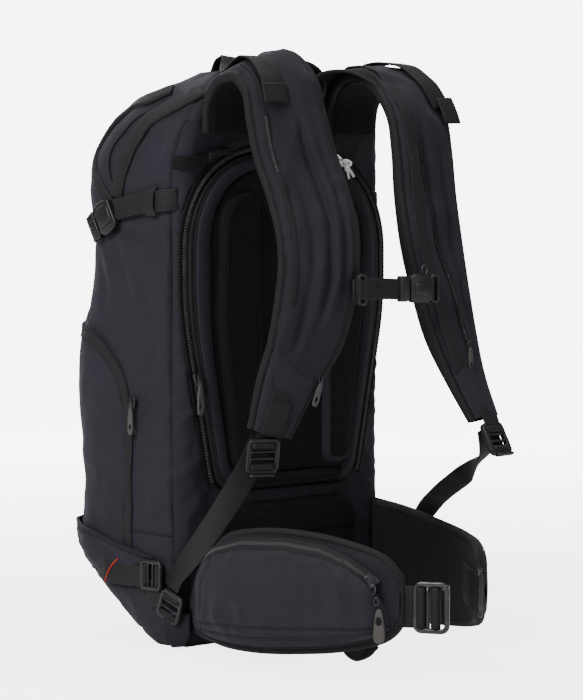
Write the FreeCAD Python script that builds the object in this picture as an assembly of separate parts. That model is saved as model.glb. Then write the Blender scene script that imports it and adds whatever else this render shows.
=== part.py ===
import FreeCAD, Part
import math
import os

# Avalanche airbag backpack, about 30 litres. Millimetres, +Z up, the back panel faces -Y.
# The origin lies on the flat base, in the middle of the back panel's plane.
# Right and left are the wearer's: right is -X, left is +X.

Vector = FreeCAD.Vector

# ---- driving dimensions -------------------------------------------------------------------
FABRIC = 4.0                 # thickness of a padded fabric wall
GAP = 0.6                    # clearance between pieces of different bodies
WEBBING = 2.0                # thickness of webbing
SMALL_WEB = 25.0             # width of the compression and shoulder webbing
STERNUM_WEB = 20.0           # width of the sternum strap
HIP_WEB = 38.0               # width of the hip belt's webbing
BACK_RADIUS = 16.0
FRONT_RADIUS = 50.0
BACK_SHARE = 0.4             # a back corner takes at most this share of the half width
FRONT_SHARE = 0.6            # a front corner takes at most this share of the depth
POCKET_RISE = 9.0            # how far the outer pockets stand off the front
BASE_TOP = 14.0              # the base panel ends here
LID_BOTTOM = 512.0           # the top panel starts here
BACK_DEPTH = 12.0            # the back wall reaches this far in
CORNER_X = 96.0              # side and front panels meet here

# height, half width, back and front of the main body
PROFILE = [
    (0.0, 135.0, -2.0, 62.0),
    (8.0, 143.0, -4.0, 72.0),
    (35.0, 145.0, -4.0, 105.0),
    (70.0, 145.0, -4.0, 148.0),
    (105.0, 145.0, -3.0, 161.0),
    (160.0, 145.0, -1.0, 154.0),
    (240.0, 145.0, 0.0, 161.0),
    (300.0, 145.0, 0.0, 158.0),
    (345.0, 145.0, 0.0, 149.0),
    (400.0, 145.0, 0.0, 143.0),
    (450.0, 145.0, 0.0, 146.0),
    (485.0, 142.0, -4.0, 142.0),
    (520.0, 131.0, -12.0, 112.0),
    (545.0, 112.0, -14.0, 84.0),
    (562.0, 82.0, -6.0, 54.0),
]

# back door
DOOR_LOW = 150.0
DOOR_TOP = 493.0
DOOR_HALF = 133.0
DOOR_FOOT = 95.0
DOOR_WAIST = 330.0
DOOR_OUT = -8.0
DOOR_IN = 2.5
DOOR_GAP = 1.2
DOOR_RADII = (25.0, 25.0, 300.0, 95.0, 95.0, 300.0)
ZIP_RISE = 2.4
ZIP_WIDTH = 7.0

STRAP_THICK = 14.0           # padded part of a shoulder strap
SLEEVE_THICK = 21.0          # left strap where the release handle is stowed
LOCK_RIM = 4.0               # rim and middle bar of a ladder-lock adjuster

# shoulder straps: x, y, z, width, thickness, turn of the width about Z in degrees
STRAP_RIGHT = [
    (-84, -14, 505, 66, 11, 0),
    (-86, -19, 540, 68, 12, -2),
    (-87, -36, 566, 72, 13, -5),
    (-84, -60, 571, 78, STRAP_THICK, -9),
    (-80, -80, 550, 82, STRAP_THICK, -16),
    (-78, -88, 516, 84, STRAP_THICK, -22),
    (-75, -97, 478, 82, STRAP_THICK, -27),
    (-74, -113, 441, 80, STRAP_THICK, -30),
    (-74, -125, 403, 79, STRAP_THICK, -30),
    (-74, -127, 375, 77, STRAP_THICK, -30),
    (-76, -122, 338, 74, STRAP_THICK, -30),
    (-80, -113, 300, 68, STRAP_THICK, -30),
    (-85, -94, 262, 56, STRAP_THICK, -28),
    (-92, -77, 212, 42, 11, -25),
]
STRAP_LEFT = [
    (84, -14, 505, 66, 11, 0),
    (84, -19, 540, 68, 12, 0),
    (83, -38, 563, 72, 13, 0),
    (81, -68, 565, 76, STRAP_THICK, 0),
    (80, -94, 546, 78, STRAP_THICK, 0),
    (80, -111, 518, 78, STRAP_THICK, 0),
    (80, -117, 486, 78, 15, 0),
    (80, -122, 440, 78, 18, 0),
    (80, -131, 390, 76, SLEEVE_THICK, 0),
    (82, -141, 345, 70, SLEEVE_THICK, 0),
    (84, -152, 304, 62, SLEEVE_THICK, 0),
    (88, -170, 258, 48, STRAP_THICK, 0),
    (92, -188, 222, 38, 11, 0),
]

# adjuster webbing under each shoulder strap: x, y, z, turn of the width in degrees
ADJUST_RIGHT = [
    (-93.5, -67, 206, -25),
    (-96, -58, 186, -28),
    (-108, -50, 150, -38),
    (-127, -44, 115, -58),
    (-146, -19, 86, -80),
    (-149, -4, 70, -90),
    (-148.6, 2, 61, -90),
]
ADJUST_LEFT = [
    (92, -190, 212, 0),
    (98, -186, 190, 10),
    (113, -162, 174, 50),
    (132, -122, 156, 80),
    (150, -80, 136, 95),
    (167, -42, 112, 92),
    (166, -18, 78, 90),
    (152, -4, 70, 90),
    (148.6, 2, 61, 90),
]

# load lifter webbing over each strap: x, y, z
LIFTER_RIGHT = [
    (-96, 16, 556),
    (-94, 0, 576),
    (-92, -26, 586),
    (-87, -57, 586),
    (-81, -83, 571),
    (-79, -97, 547),
]
LIFTER_LEFT = [
    (94, 12, 556),
    (92, -2, 574),
    (90, -30, 577),
    (95, -66, 577),
    (104, -94, 563),
    (112, -112, 540),
]

# hip wings: x, y, bottom, top, thickness
WING_RIGHT = [
    (-126, -9, 18, 74, 10),
    (-138, -42, 16, 80, 11),
    (-149, -80, 14, 112, 14),
    (-151, -120, 14, 126, 16),
    (-146, -170, 18, 123, 16),
    (-133, -215, 24, 113, 15),
    (-118, -250, 34, 99, 13),
    (-110, -266, 42, 90, 10),
]
WING_LEFT = [
    (126, -9, 12, 108, 10),
    (140, -40, 6, 110, 12),
    (150, -78, 5, 110, 16),
    (148, -112, 7, 105, 18),
    (136, -140, 12, 98, 17),
    (114, -164, 20, 89, 15),
    (94, -182, 28, 80, 12),
]
POCKET_THICK = 15.0
HINGE_X = 126.0
HINGE_Y = -9.0

# release cable from the handle in the left strap, through the strap, to the inflation unit
CABLE_R = 1.6
CABLE_ROUTE = [
    (80.6, -132, 386),
    (80, -123, 432),
    (80, -117.5, 480),
    (80, -111, 518),
    (80, -95, 545),
    (81, -67, 564),
    (83, -38, 562),
    (84, -20, 541),
    (84, -13, 510),
    (84, 6, 482),
    (84, 34, 466),
    (82, 52, 448),
    (80, 56, 428),
]

# white pull cord under the right strap: two strands between the strap and a knot
CORD_R = 1.3
CORD_UPPER = [(-47, -87, 492), (-36, -92.5, 488), (-26, -97, 482), (-17, -100, 475)]
CORD_LOWER = [(-48, -87, 486), (-38, -93, 484), (-28, -98, 478), (-19, -101.5, 471)]
CORD_KNOT = (-11, -103, 468)

os.makedirs("parts", exist_ok=True)
nodes = {}


# ---- helpers ----------------------------------------------------------------------------
def save(name, shape):
    """Write one sub-part and remember it."""
    solids = shape.Solids
    shape = solids[0] if len(solids) == 1 else Part.makeCompound(solids)
    shape.exportStep("parts/" + name + ".step")
    nodes[name] = shape
    print("%-30s solids %d volume %9.1f valid %s" % (name, len(solids), shape.Volume, shape.isValid()))


def box(low, high):
    """Axis-aligned block from its low corner to its high corner."""
    size = Vector(*high) - Vector(*low)
    return Part.makeBox(size.x, size.y, size.z, Vector(*low))


def body_section(z, half, back, front, grow):
    """Horizontal outline of the body: straight back and sides, large round front corners."""
    half += grow
    back -= grow
    front += grow
    rear = min(BACK_RADIUS, half * BACK_SHARE)
    nose = min(FRONT_RADIUS, (front - back) * FRONT_SHARE)
    diagonal = math.sqrt(0.5)
    left_rear = Vector(half - rear, back + rear, z)
    left_nose = Vector(half - nose, front - nose, z)
    right_rear = Vector(-half + rear, back + rear, z)
    right_nose = Vector(-half + nose, front - nose, z)

    def arc(centre, radius, x0, y0, x1, y1):
        middle = Vector(x0 + x1, y0 + y1, 0).normalize()
        start = centre + Vector(x0, y0, 0) * radius
        end = centre + Vector(x1, y1, 0) * radius
        return Part.Arc(start, centre + middle * radius, end).toShape(), start, end

    corners = [
        arc(left_rear, rear, 0, -1, 1, 0),
        arc(left_nose, nose, 1, 0, 0, 1),
        arc(right_nose, nose, 0, 1, -1, 0),
        arc(right_rear, rear, -1, 0, 0, -1),
    ]
    edges = []
    for index, (edge, start, end) in enumerate(corners):
        following = corners[(index + 1) % len(corners)]
        edges.append(edge)
        edges.append(Part.LineSegment(end, following[1]).toShape())
    return Part.Wire(edges)


def body_loft(grow=0.0, low_trim=0.0, high_trim=0.0):
    """The body's outer form, grown or shrunk sideways and trimmed at its two ends."""
    wires = []
    for index, (z, half, back, front) in enumerate(PROFILE):
        if index == 0:
            z += low_trim
        if index == len(PROFILE) - 1:
            z -= high_trim
        wires.append(body_section(z, half, back, front, grow))
    return Part.makeLoft(wires, True, True)


def rounded_outline(points, radii, y):
    """Closed outline in the XZ plane at y, with a tangent arc at each corner."""
    count = len(points)
    starts, ends, arcs = [], [], []
    for index in range(count):
        corner = Vector(points[index][0], y, points[index][1])
        before = Vector(points[index - 1][0], y, points[index - 1][1])
        after = Vector(points[(index + 1) % count][0], y, points[(index + 1) % count][1])
        to_before = (before - corner).normalize()
        to_after = (after - corner).normalize()
        half_angle = to_before.getAngle(to_after) / 2
        reach = radii[index] / math.tan(half_angle)
        centre = corner + (to_before + to_after).normalize() * (radii[index] / math.sin(half_angle))
        start = corner + to_before * reach
        end = corner + to_after * reach
        middle = centre + (corner - centre).normalize() * radii[index]
        starts.append(start)
        ends.append(end)
        arcs.append(Part.Arc(start, middle, end).toShape())
    edges = []
    for index in range(count):
        edges.append(arcs[index])
        edges.append(Part.LineSegment(ends[index], starts[(index + 1) % count]).toShape())
    return Part.Wire(edges)


def door_outline(grow, y):
    """Outline of the back door, grown all round."""
    points = [
        (-DOOR_FOOT - grow, DOOR_LOW - grow),
        (DOOR_FOOT + grow, DOOR_LOW - grow),
        (DOOR_HALF + grow, DOOR_WAIST),
        (DOOR_HALF + grow, DOOR_TOP + grow),
        (-DOOR_HALF - grow, DOOR_TOP + grow),
        (-DOOR_HALF - grow, DOOR_WAIST),
    ]
    radii = [radius + grow for radius in DOOR_RADII]
    return rounded_outline(points, radii, y)


def slab(outline, depth):
    """Extrude a flat outline along +Y."""
    return Part.Face(outline).extrude(Vector(0, depth, 0))


def tangent_at(points, index):
    """Direction of a route at one of its points."""
    before = points[max(index - 1, 0)]
    after = points[min(index + 1, len(points) - 1)]
    return (after - before).normalize()


def ribbon(stations):
    """Band through stations of (point, width direction, width, thickness), in flat facets."""
    points = [station[0] for station in stations]
    rings = []
    for index, (point, across, width, thick) in enumerate(stations):
        along = tangent_at(points, index)
        across = (across - along * across.dot(along)).normalize()
        side = across * (width / 2)
        out = along.cross(across) * (thick / 2)
        rings.append([point - side - out, point + side - out, point + side + out, point - side + out])
    faces = [Part.Face(Part.makePolygon(ring + ring[:1])) for ring in (rings[0], rings[-1])]
    for ring, following in zip(rings, rings[1:]):
        for index in range(4):
            other = (index + 1) % 4
            for corners in (
                (ring[index], ring[other], following[other]),
                (ring[index], following[other], following[index]),
            ):
                faces.append(Part.Face(Part.makePolygon(list(corners) + [corners[0]])))
    solid = Part.makeSolid(Part.makeShell(faces))
    if solid.Volume < 0:
        solid.reverse()
    return solid


def turned(degrees):
    """Horizontal unit vector, turned about Z from +X."""
    return Vector(math.cos(math.radians(degrees)), math.sin(math.radians(degrees)), 0)


def strap_stations(rows, lift=0.0, width_factor=1.0):
    """Stations of a shoulder strap, raised off its outer face by lift."""
    points = [Vector(row[0], row[1], row[2]) for row in rows]
    stations = []
    for index, (x, y, z, width, thick, turn) in enumerate(rows):
        across = turned(turn)
        outward = tangent_at(points, index).cross(across).normalize()
        stations.append((points[index] + outward * lift, across, width * width_factor, thick))
    return stations


def flat_route(rows, width, thick):
    """Stations of a webbing route given as x, y, z and turn."""
    return [(Vector(x, y, z), turned(turn), width, thick) for x, y, z, turn in rows]


def wing_outward(rows, index):
    """Horizontal unit vector that points away from the wearer at one wing station."""
    points = [Vector(row[0], row[1], 0) for row in rows]
    along = tangent_at(points, index)
    side = Vector(-along.y, along.x, 0)
    return side * math.copysign(1.0, side.x * rows[0][0])


def wing_stations(rows, lift=0.0, thick=None, low=0.0, high=0.0):
    """Stations of a hip wing or of a layer on its outer face."""
    stations = []
    for index, (x, y, bottom, top, own) in enumerate(rows):
        centre = Vector(x, y, (bottom + low + top - high) / 2) + wing_outward(rows, index) * lift
        stations.append((centre, Vector(0, 0, 1), top - high - bottom - low, thick or own))
    return stations


def placed(shape, centre, across, up):
    """Move a shape from its own axes (x across, z up, y inward) to a place on the pack."""
    across = Vector(*across).normalize()
    up = Vector(*up)
    up = (up - across * up.dot(across)).normalize()
    inward = up.cross(across)
    matrix = FreeCAD.Matrix(
        across.x, inward.x, up.x, centre[0],
        across.y, inward.y, up.y, centre[1],
        across.z, inward.z, up.z, centre[2],
        0, 0, 0, 1,
    )
    return shape.transformGeometry(matrix)


def centred_box(width, thick, height, x=0.0, y=0.0, z=0.0):
    """Block centred on a point."""
    return box((x - width / 2, y - thick / 2, z - height / 2), (x + width / 2, y + thick / 2, z + height / 2))


def ladder_lock(web_width, height, thick):
    """Ladder-lock adjuster: a plate with two slots and a bar between them."""
    plate = centred_box(web_width + 2 * LOCK_RIM, thick, height)
    slot = height / 2 - 1.5 * LOCK_RIM
    for side in (-1, 1):
        plate = plate.cut(centred_box(web_width, thick * 2, slot, z=side * (slot + LOCK_RIM) / 2))
    return plate


BEND_SHARE = 0.45            # share of a straight run that the arc at its end takes


def tube(route, radius, report=None):
    """Round cord: straight runs joined by arcs as large as the runs allow."""
    points = [Vector(*point) for point in route]
    edges = []
    radii = []
    here = points[0]
    for index in range(1, len(points) - 1):
        corner = points[index]
        back = points[index - 1] - corner
        ahead = points[index + 1] - corner
        half_turn = (math.pi - back.getAngle(ahead)) / 2
        reach = BEND_SHARE * min(back.Length, ahead.Length)
        bend = reach / math.tan(half_turn)
        start = corner + back.normalize() * reach
        end = corner + ahead.normalize() * reach
        toward = (back + ahead).normalize()
        centre = corner + toward * (bend / math.cos(half_turn))
        middle = centre - toward * bend
        edges.append(Part.LineSegment(here, start).toShape())
        edges.append(Part.Arc(start, middle, end).toShape())
        radii.append(bend)
        here = end
    edges.append(Part.LineSegment(here, points[-1]).toShape())
    path = Part.Wire(edges)
    circle = Part.Wire(Part.makeCircle(radius, points[0], points[1] - points[0]))
    solid = path.makePipeShell([circle], True, False)
    if report:
        expected = math.pi * radius * radius * path.Length
        smallest = min(radii)
        print("%s length %.1f volume ratio %.4f radii %s" % (
            report, path.Length, solid.Volume / expected, " ".join("%.0f" % r for r in radii)))
        if smallest < radius:
            print(report, "has a bend that is too tight")
    return solid


def mirrored(shape):
    """Mirror image across the middle plane."""
    return shape.mirror(Vector(0, 0, 0), Vector(1, 0, 0))


def both(shape):
    """A shape and its mirror image across the middle plane."""
    return Part.makeCompound([shape, mirrored(shape)])


def zip_pull(length, width, thick):
    """Hanging puller: a tapered tab with an oval hole, its hinge end at the origin."""
    tab = centred_box(width, thick, length - width / 2, z=-(length - width / 2) / 2)
    end = Part.makeCylinder(width / 2, thick, Vector(0, -thick / 2, -(length - width / 2)), Vector(0, 1, 0))
    hole = Part.makeCylinder(width / 4, thick * 2, Vector(0, -thick, -(length - width / 2)), Vector(0, 1, 0))
    return tab.fuse(end).cut(hole)


# ---- body shell ----------------------------------------------------------------------------
FAR = 400.0                  # further out than any piece


def slice_z(low, high):
    """Block that keeps everything between two heights."""
    return box((-FAR, -FAR, low), (FAR, FAR, high))


outer = body_loft()
inner = body_loft(-FABRIC, FABRIC, FABRIC)
shell = outer.cut(inner)
middle_band = shell.common(slice_z(BASE_TOP, LID_BOTTOM))
side_band = middle_band.common(box((-FAR, BACK_DEPTH, 0), (FAR, FAR, FAR * 2)))

save("base_panel", shell.common(slice_z(-1, BASE_TOP)))
save("top_panel", shell.common(slice_z(LID_BOTTOM, FAR * 2)))
save("side_panel_right", side_band.common(box((-FAR, -FAR, 0), (-CORNER_X, FAR, FAR * 2))))
save("side_panel_left", side_band.common(box((CORNER_X, -FAR, 0), (FAR, FAR, FAR * 2))))
save("front_panel", side_band.common(box((-CORNER_X, -FAR, 0), (CORNER_X, FAR, FAR * 2))))

CABLE_CLEARANCE = 0.6
door_hole = slab(door_outline(DOOR_GAP, -FAR / 4), FAR / 2)
back_band = middle_band.common(box((-FAR, -FAR, 0), (FAR, BACK_DEPTH, FAR * 2)))
cable_way = tube(CABLE_ROUTE, CABLE_R + CABLE_CLEARANCE)
save("back_wall", back_band.cut(door_hole).cut(cable_way))

# ---- pockets on the front --------------------------------------------------------------------
# lowest and highest point, the depth they start at, half width
POCKETS = {
    "lower_flap": (52.0, 112.0, 60.0, 128.0),
    "front_pocket": (118.0, 402.0, 62.0, 132.0),
    "top_pocket": (408.0, 505.0, 56.0, 126.0),
}
pocket_form = body_loft(POCKET_RISE).cut(outer)
for name, (low, high, back, half) in POCKETS.items():
    save(name, pocket_form.common(box((-half, back, low), (half, FAR, high))))

# ---- inside ----------------------------------------------------------------------------------
SHELF_Z = 424.0
SHELF_THICK = 3.0
SHELF_HALF = 128.0
SHELF_BACK, SHELF_FRONT = 20.0, 128.0
SHELF_CLEARANCE = 1.0        # between the shelf and the walls round it
SHELF_HOLE_R = 5.0           # the cable and its ferrule pass through
CARTRIDGE_R = 25.0
CARTRIDGE_EDGE_R = 16.0
CARTRIDGE_AT = (80.0, 56.0)
CARTRIDGE_LOW, CARTRIDGE_HIGH = 150.0, 350.0
NECK_R, NECK_LENGTH = 10.0, 16.0


def upright(radius, low, high):
    """Round rod on the cartridge's axis, between two heights."""
    return Part.makeCylinder(radius, high - low, Vector(CARTRIDGE_AT[0], CARTRIDGE_AT[1], low))


room = body_loft(-FABRIC - SHELF_CLEARANCE, FABRIC, FABRIC)
shelf = box((-SHELF_HALF, SHELF_BACK, SHELF_Z), (SHELF_HALF, SHELF_FRONT, SHELF_Z + SHELF_THICK))
shelf_hole = upright(SHELF_HOLE_R, SHELF_Z - SHELF_THICK, SHELF_Z + 2 * SHELF_THICK)
save("airbag_shelf", shelf.common(room).cut(shelf_hole))

AIRBAG_GAP = 8.0
AIRBAG_HEIGHT = 68.0
AIRBAG_EDGE_R = 14.0
airbag_low = SHELF_Z + SHELF_THICK + AIRBAG_GAP
airbag = box((-98, 24, airbag_low), (66, 104, airbag_low + AIRBAG_HEIGHT))
save("airbag_folded", airbag.makeFillet(AIRBAG_EDGE_R, airbag.Edges))

cartridge = upright(CARTRIDGE_R, CARTRIDGE_LOW, CARTRIDGE_HIGH)
round_edges = [edge for edge in cartridge.Edges if isinstance(edge.Curve, Part.Circle)]
cartridge = cartridge.makeFillet(CARTRIDGE_EDGE_R, round_edges)
save("gas_cartridge", cartridge.fuse(upright(NECK_R, CARTRIDGE_HIGH, CARTRIDGE_HIGH + NECK_LENGTH)))

HEAD_R, HEAD_HEIGHT = 18.0, 34.0
SPOUT_R, SPOUT_LENGTH = 9.0, 34.0
SPOUT_START, SPOUT_RISE = 12.0, 18.0
FERRULE_R, FERRULE_LENGTH = 4.0, 27.0
head_low = CARTRIDGE_HIGH + NECK_LENGTH
head_high = head_low + HEAD_HEIGHT
head = upright(HEAD_R, head_low, head_high)
spout_start = Vector(CARTRIDGE_AT[0] - SPOUT_START, CARTRIDGE_AT[1], head_low + SPOUT_RISE)
spout = Part.makeCylinder(SPOUT_R, SPOUT_LENGTH, spout_start, Vector(-1, 0, 0))
ferrule = upright(FERRULE_R, head_high, head_high + FERRULE_LENGTH)
save("inflation_unit", head.fuse(spout).fuse(ferrule).cut(cable_way))

HOOP_R = 3.0
HOOP_Y = 16.5
HOOP_HALF = 112.0
HOOP_LOW, HOOP_TOP = 40.0, 408.0
HOOP_BEND = 70.0


def hoop_point(x, z):
    """Point of the frame hoop's centre line."""
    return Vector(x, HOOP_Y, z)


straight = HOOP_HALF - HOOP_BEND
shoulder = HOOP_TOP - HOOP_BEND
bulge = HOOP_BEND * (1 - math.sqrt(0.5))
hoop_edges = [
    Part.LineSegment(hoop_point(-HOOP_HALF, HOOP_LOW), hoop_point(-HOOP_HALF, shoulder)),
    Part.Arc(hoop_point(-HOOP_HALF, shoulder), hoop_point(bulge - HOOP_HALF, HOOP_TOP - bulge),
             hoop_point(-straight, HOOP_TOP)),
    Part.LineSegment(hoop_point(-straight, HOOP_TOP), hoop_point(straight, HOOP_TOP)),
    Part.Arc(hoop_point(straight, HOOP_TOP), hoop_point(HOOP_HALF - bulge, HOOP_TOP - bulge),
             hoop_point(HOOP_HALF, shoulder)),
    Part.LineSegment(hoop_point(HOOP_HALF, shoulder), hoop_point(HOOP_HALF, HOOP_LOW)),
]
hoop_path = Part.Wire([edge.toShape() for edge in hoop_edges])
hoop_circle = Part.Wire(Part.makeCircle(HOOP_R, hoop_point(-HOOP_HALF, HOOP_LOW), Vector(0, 0, 1)))
save("frame_hoop", hoop_path.makePipeShell([hoop_circle], True, False))

# ---- back door ---------------------------------------------------------------------------------
SHEET_THICK = 1.6
SHEET_OUTLINE = [(-80, 172), (80, 172), (112, 330), (112, 470), (-112, 470), (-112, 330)]
SHEET_RADII = [20, 20, 200, 80, 80, 200]
save("back_door", slab(door_outline(0, DOOR_OUT), DOOR_IN - DOOR_OUT))
save("door_stiffener", slab(rounded_outline(SHEET_OUTLINE, SHEET_RADII, DOOR_IN), SHEET_THICK))

PAD_RISE = 9.0
PAD_OUTLINE = [(44, 166), (84, 166), (104, 320), (100, 452), (44, 462)]
PAD_RADII = [14, 14, 120, 34, 14]
left_pad = slab(rounded_outline(PAD_OUTLINE, PAD_RADII, DOOR_OUT - PAD_RISE), PAD_RISE)
save("back_pads", both(left_pad))

LUMBAR_LOW = (-104, -18, 24)
LUMBAR_HIGH = (104, -4.2, 138)
LUMBAR_EDGE_R = 6.0
lumbar = box(LUMBAR_LOW, LUMBAR_HIGH)
save("lumbar_pad", lumbar.makeFillet(LUMBAR_EDGE_R, lumbar.Edges))

ZIP_BACK = -5.5              # the zip's chain lies on the back wall at this depth
ZIP_INSET = 0.8              # from the edge of the door's opening to the chain
ZIP_ENDS = (DOOR_LOW + 6, 470.0)
ZIP_BREAK = 2.0              # half the gap between the chain's two halves at the top
chain = slab(door_outline(DOOR_GAP + ZIP_WIDTH, ZIP_BACK - ZIP_RISE), ZIP_RISE)
chain = chain.cut(slab(door_outline(DOOR_GAP + ZIP_INSET, -FAR / 4), FAR / 2))
chain = chain.common(slice_z(*ZIP_ENDS)).cut(outer)
save("back_zip", chain.cut(box((-ZIP_BREAK, -FAR, 0), (ZIP_BREAK, FAR, FAR * 2))))

ZIP_SLIDER_Z = 262.0
SLIDER_SIZE = (10, 3.6, 14)
SLIDER_OFFSET = 5.6          # from the door's edge to the middle of the chain, along X
SLIDER_Y, PULL_Y = -10.6, -14.4
PULL_DROP = 3.0
lean_x = DOOR_HALF - DOOR_FOOT
lean_z = DOOR_WAIST - DOOR_LOW
slider_x = DOOR_HALF - (DOOR_WAIST - ZIP_SLIDER_Z) * lean_x / lean_z + SLIDER_OFFSET
back_slider = placed(centred_box(*SLIDER_SIZE), (-slider_x, SLIDER_Y, ZIP_SLIDER_Z),
                     (lean_z, 0, lean_x), (-lean_x, 0, lean_z))
save("back_zip_slider", back_slider)
back_pull_at = (-slider_x, PULL_Y, ZIP_SLIDER_Z - PULL_DROP)
save("back_zip_pull", placed(zip_pull(34, 8, 2.4), back_pull_at, (1, 0, 0), (0, 0, 1)))

# ---- shoulder straps -------------------------------------------------------------------------------
save("shoulder_strap_right", ribbon(strap_stations(STRAP_RIGHT)).cut(outer))

HANDLE_SIZE = (14, 9, 62)
SLEEVE_LENGTH = 84.0
SLEEVE_SIZE = (HANDLE_SIZE[0] + 2 * GAP, HANDLE_SIZE[1] + 2 * GAP, SLEEVE_LENGTH)
HANDLE_TO_TOP = 3.0          # from the handle to the closed upper end of its sleeve
sleeve_low = Vector(84, -152, 304)
sleeve_high = Vector(80.5, -131.5, 388)
sleeve_axis = (sleeve_high - sleeve_low).normalize()
sleeve_centre = (sleeve_low + sleeve_high) * 0.5
sleeve = placed(centred_box(*SLEEVE_SIZE), sleeve_centre, (1, 0, 0), sleeve_axis)
strap_left = ribbon(strap_stations(STRAP_LEFT))
save("shoulder_strap_left", strap_left.cut(sleeve).cut(cable_way).cut(outer))
handle_centre = sleeve_centre + sleeve_axis * ((SLEEVE_LENGTH - HANDLE_SIZE[2]) / 2 - HANDLE_TO_TOP)
save("release_handle", placed(centred_box(*HANDLE_SIZE), handle_centre, (1, 0, 0), sleeve_axis))
save("release_cable", tube(CABLE_ROUTE, CABLE_R, "release_cable"))

ADJUST_WIDTH_RIGHT = 22.0
ADJUST_WIDTH_LEFT = 20.0
save("adjuster_webbing_right", ribbon(flat_route(ADJUST_RIGHT, ADJUST_WIDTH_RIGHT, WEBBING)))
save("adjuster_webbing_left", ribbon(flat_route(ADJUST_LEFT, ADJUST_WIDTH_LEFT, WEBBING)))

lifter_parts = []
for route in (LIFTER_RIGHT, LIFTER_LEFT):
    rows = [(x, y, z, 0) for x, y, z in route]
    lifter_parts.append(ribbon(flat_route(rows, SMALL_WEB, WEBBING)))
save("load_lifters", Part.makeCompound(lifter_parts).cut(outer))

LOCK_HEIGHT = 34.0
LOCK_THICK = 6.0
SMALL_LOCK_HEIGHT = 30.0
SMALL_LOCK_THICK = 5.0
lock = ladder_lock(SMALL_WEB, LOCK_HEIGHT, LOCK_THICK)
save("strap_adjuster_right", placed(lock, (-98.6, -74, 190), turned(-25), (7, -16, 50)))
save("strap_adjuster_left", placed(lock, (94, -203, 203), turned(6), (-4, 18, 36)))
base_lock = ladder_lock(SMALL_WEB, SMALL_LOCK_HEIGHT, SMALL_LOCK_THICK)
save("base_adjusters", both(placed(base_lock, (-148.4, 2, 41), (0, 1, 0), (0, 0, 1))))

# ---- carrying handle -----------------------------------------------------------------------------
HANDLE_HALF = 46.0
HANDLE_LOW = 543.0
HANDLE_HIGH = 570.0
HANDLE_WEB = 9.0
HANDLE_THICK = 3.0
loop_rows = [
    (-HANDLE_HALF, -22, HANDLE_LOW),
    (-HANDLE_HALF + 6, -23, HANDLE_HIGH - 8),
    (-HANDLE_HALF + 20, -24, HANDLE_HIGH),
    (HANDLE_HALF - 20, -24, HANDLE_HIGH),
    (HANDLE_HALF - 6, -23, HANDLE_HIGH - 8),
    (HANDLE_HALF, -22, HANDLE_LOW),
]
save("grab_handle", ribbon([(Vector(*row), Vector(0, 1, 0), HANDLE_WEB, HANDLE_THICK) for row in loop_rows]))

# ---- sternum strap -------------------------------------------------------------------------------
STERNUM_START = Vector(-50, -158, 350)
STERNUM_ACROSS = Vector(0.995, -0.098, 0).normalize()
STERNUM_LENGTH = 58.0        # webbing from the right slider to the tongue
STERNUM_TUCK = 10.0          # part of it inside the right slider
SLOT_GAP = 1.2
LEFT_SLIDER_REACH = 45.2     # from the tongue's root to the left slider


def on_sternum(shape, reach):
    """Place a shape along the sternum strap."""
    return placed(shape, STERNUM_START + STERNUM_ACROSS * reach, STERNUM_ACROSS, (0, 0, 1))


slider_slot = centred_box(20, WEBBING + SLOT_GAP, STERNUM_WEB + SLOT_GAP)
save("sternum_slider_right", on_sternum(centred_box(9, 9, 28).cut(slider_slot), 0))
sternum_web = centred_box(STERNUM_LENGTH, WEBBING, STERNUM_WEB)
save("sternum_webbing", on_sternum(sternum_web, STERNUM_LENGTH / 2 - STERNUM_TUCK))
tongue_at = STERNUM_LENGTH - STERNUM_TUCK
tongue = centred_box(12, 7, 25, x=6).fuse(centred_box(13, 3, 12, x=18.5))
save("sternum_tongue", on_sternum(tongue, tongue_at))
socket = centred_box(26, 10, 27, x=26).cut(centred_box(20, 6.6, 19, x=23))
save("sternum_socket", on_sternum(socket, tongue_at))
save("sternum_slider_left", on_sternum(centred_box(12, 8, 30), tongue_at + LEFT_SLIDER_REACH))

# ---- hip belt ------------------------------------------------------------------------------------
POCKET_LIFT = 7.8            # half the wing's thickness, where the pocket's layer begins
POCKET_TRIM = (8.0, 12.0)    # below and above the pocket, inside the wing's edges
POCKET_SPAN = slice(2, 7)    # stations of the wing that carry the pocket
ZIP_SPAN = slice(2, 6)
HIP_ZIP_THICK = 1.6
HIP_ZIP_TRIM = (60.0, 24.0)
wing_right = ribbon(wing_stations(WING_RIGHT))
save("hip_wing_right", wing_right)
save("hip_wing_left", ribbon(wing_stations(WING_LEFT)))
pocket_rows = wing_stations(WING_RIGHT, POCKET_LIFT + POCKET_THICK / 2, POCKET_THICK, *POCKET_TRIM)
pocket = ribbon(pocket_rows[POCKET_SPAN])
save("hip_pocket", pocket.cut(wing_right))
zip_rows = wing_stations(WING_RIGHT, POCKET_LIFT + 1 + POCKET_THICK, HIP_ZIP_THICK, *HIP_ZIP_TRIM)
save("hip_pocket_zip", ribbon(zip_rows[ZIP_SPAN]).cut(pocket))

HIP_WEB_THICK = 2.5
RIGHT_TIP = Vector(-110, -266, 66)
RIGHT_ALONG = Vector(0.45, -0.89, 0).normalize()
LEFT_TIP = Vector(94, -182, 54)
LEFT_ALONG = Vector(-0.74, -0.67, 0).normalize()
FRAME_LONG = 34.0
FRAME_TALL = 46.0
FRAME_THICK = 5.0
FRAME_RIM = 4.5
FRAME_BAR = 4.0
FRAME_BAR_AT = -3.0
HOOK_HEIGHT = 28.0


def hip_web(tip, along, length):
    """Short flat webbing that leaves the end of a wing."""
    ends = (tip + along * 0.5, tip + along * length)
    return ribbon([(end, Vector(0, 0, 1), HIP_WEB, HIP_WEB_THICK) for end in ends])


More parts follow.
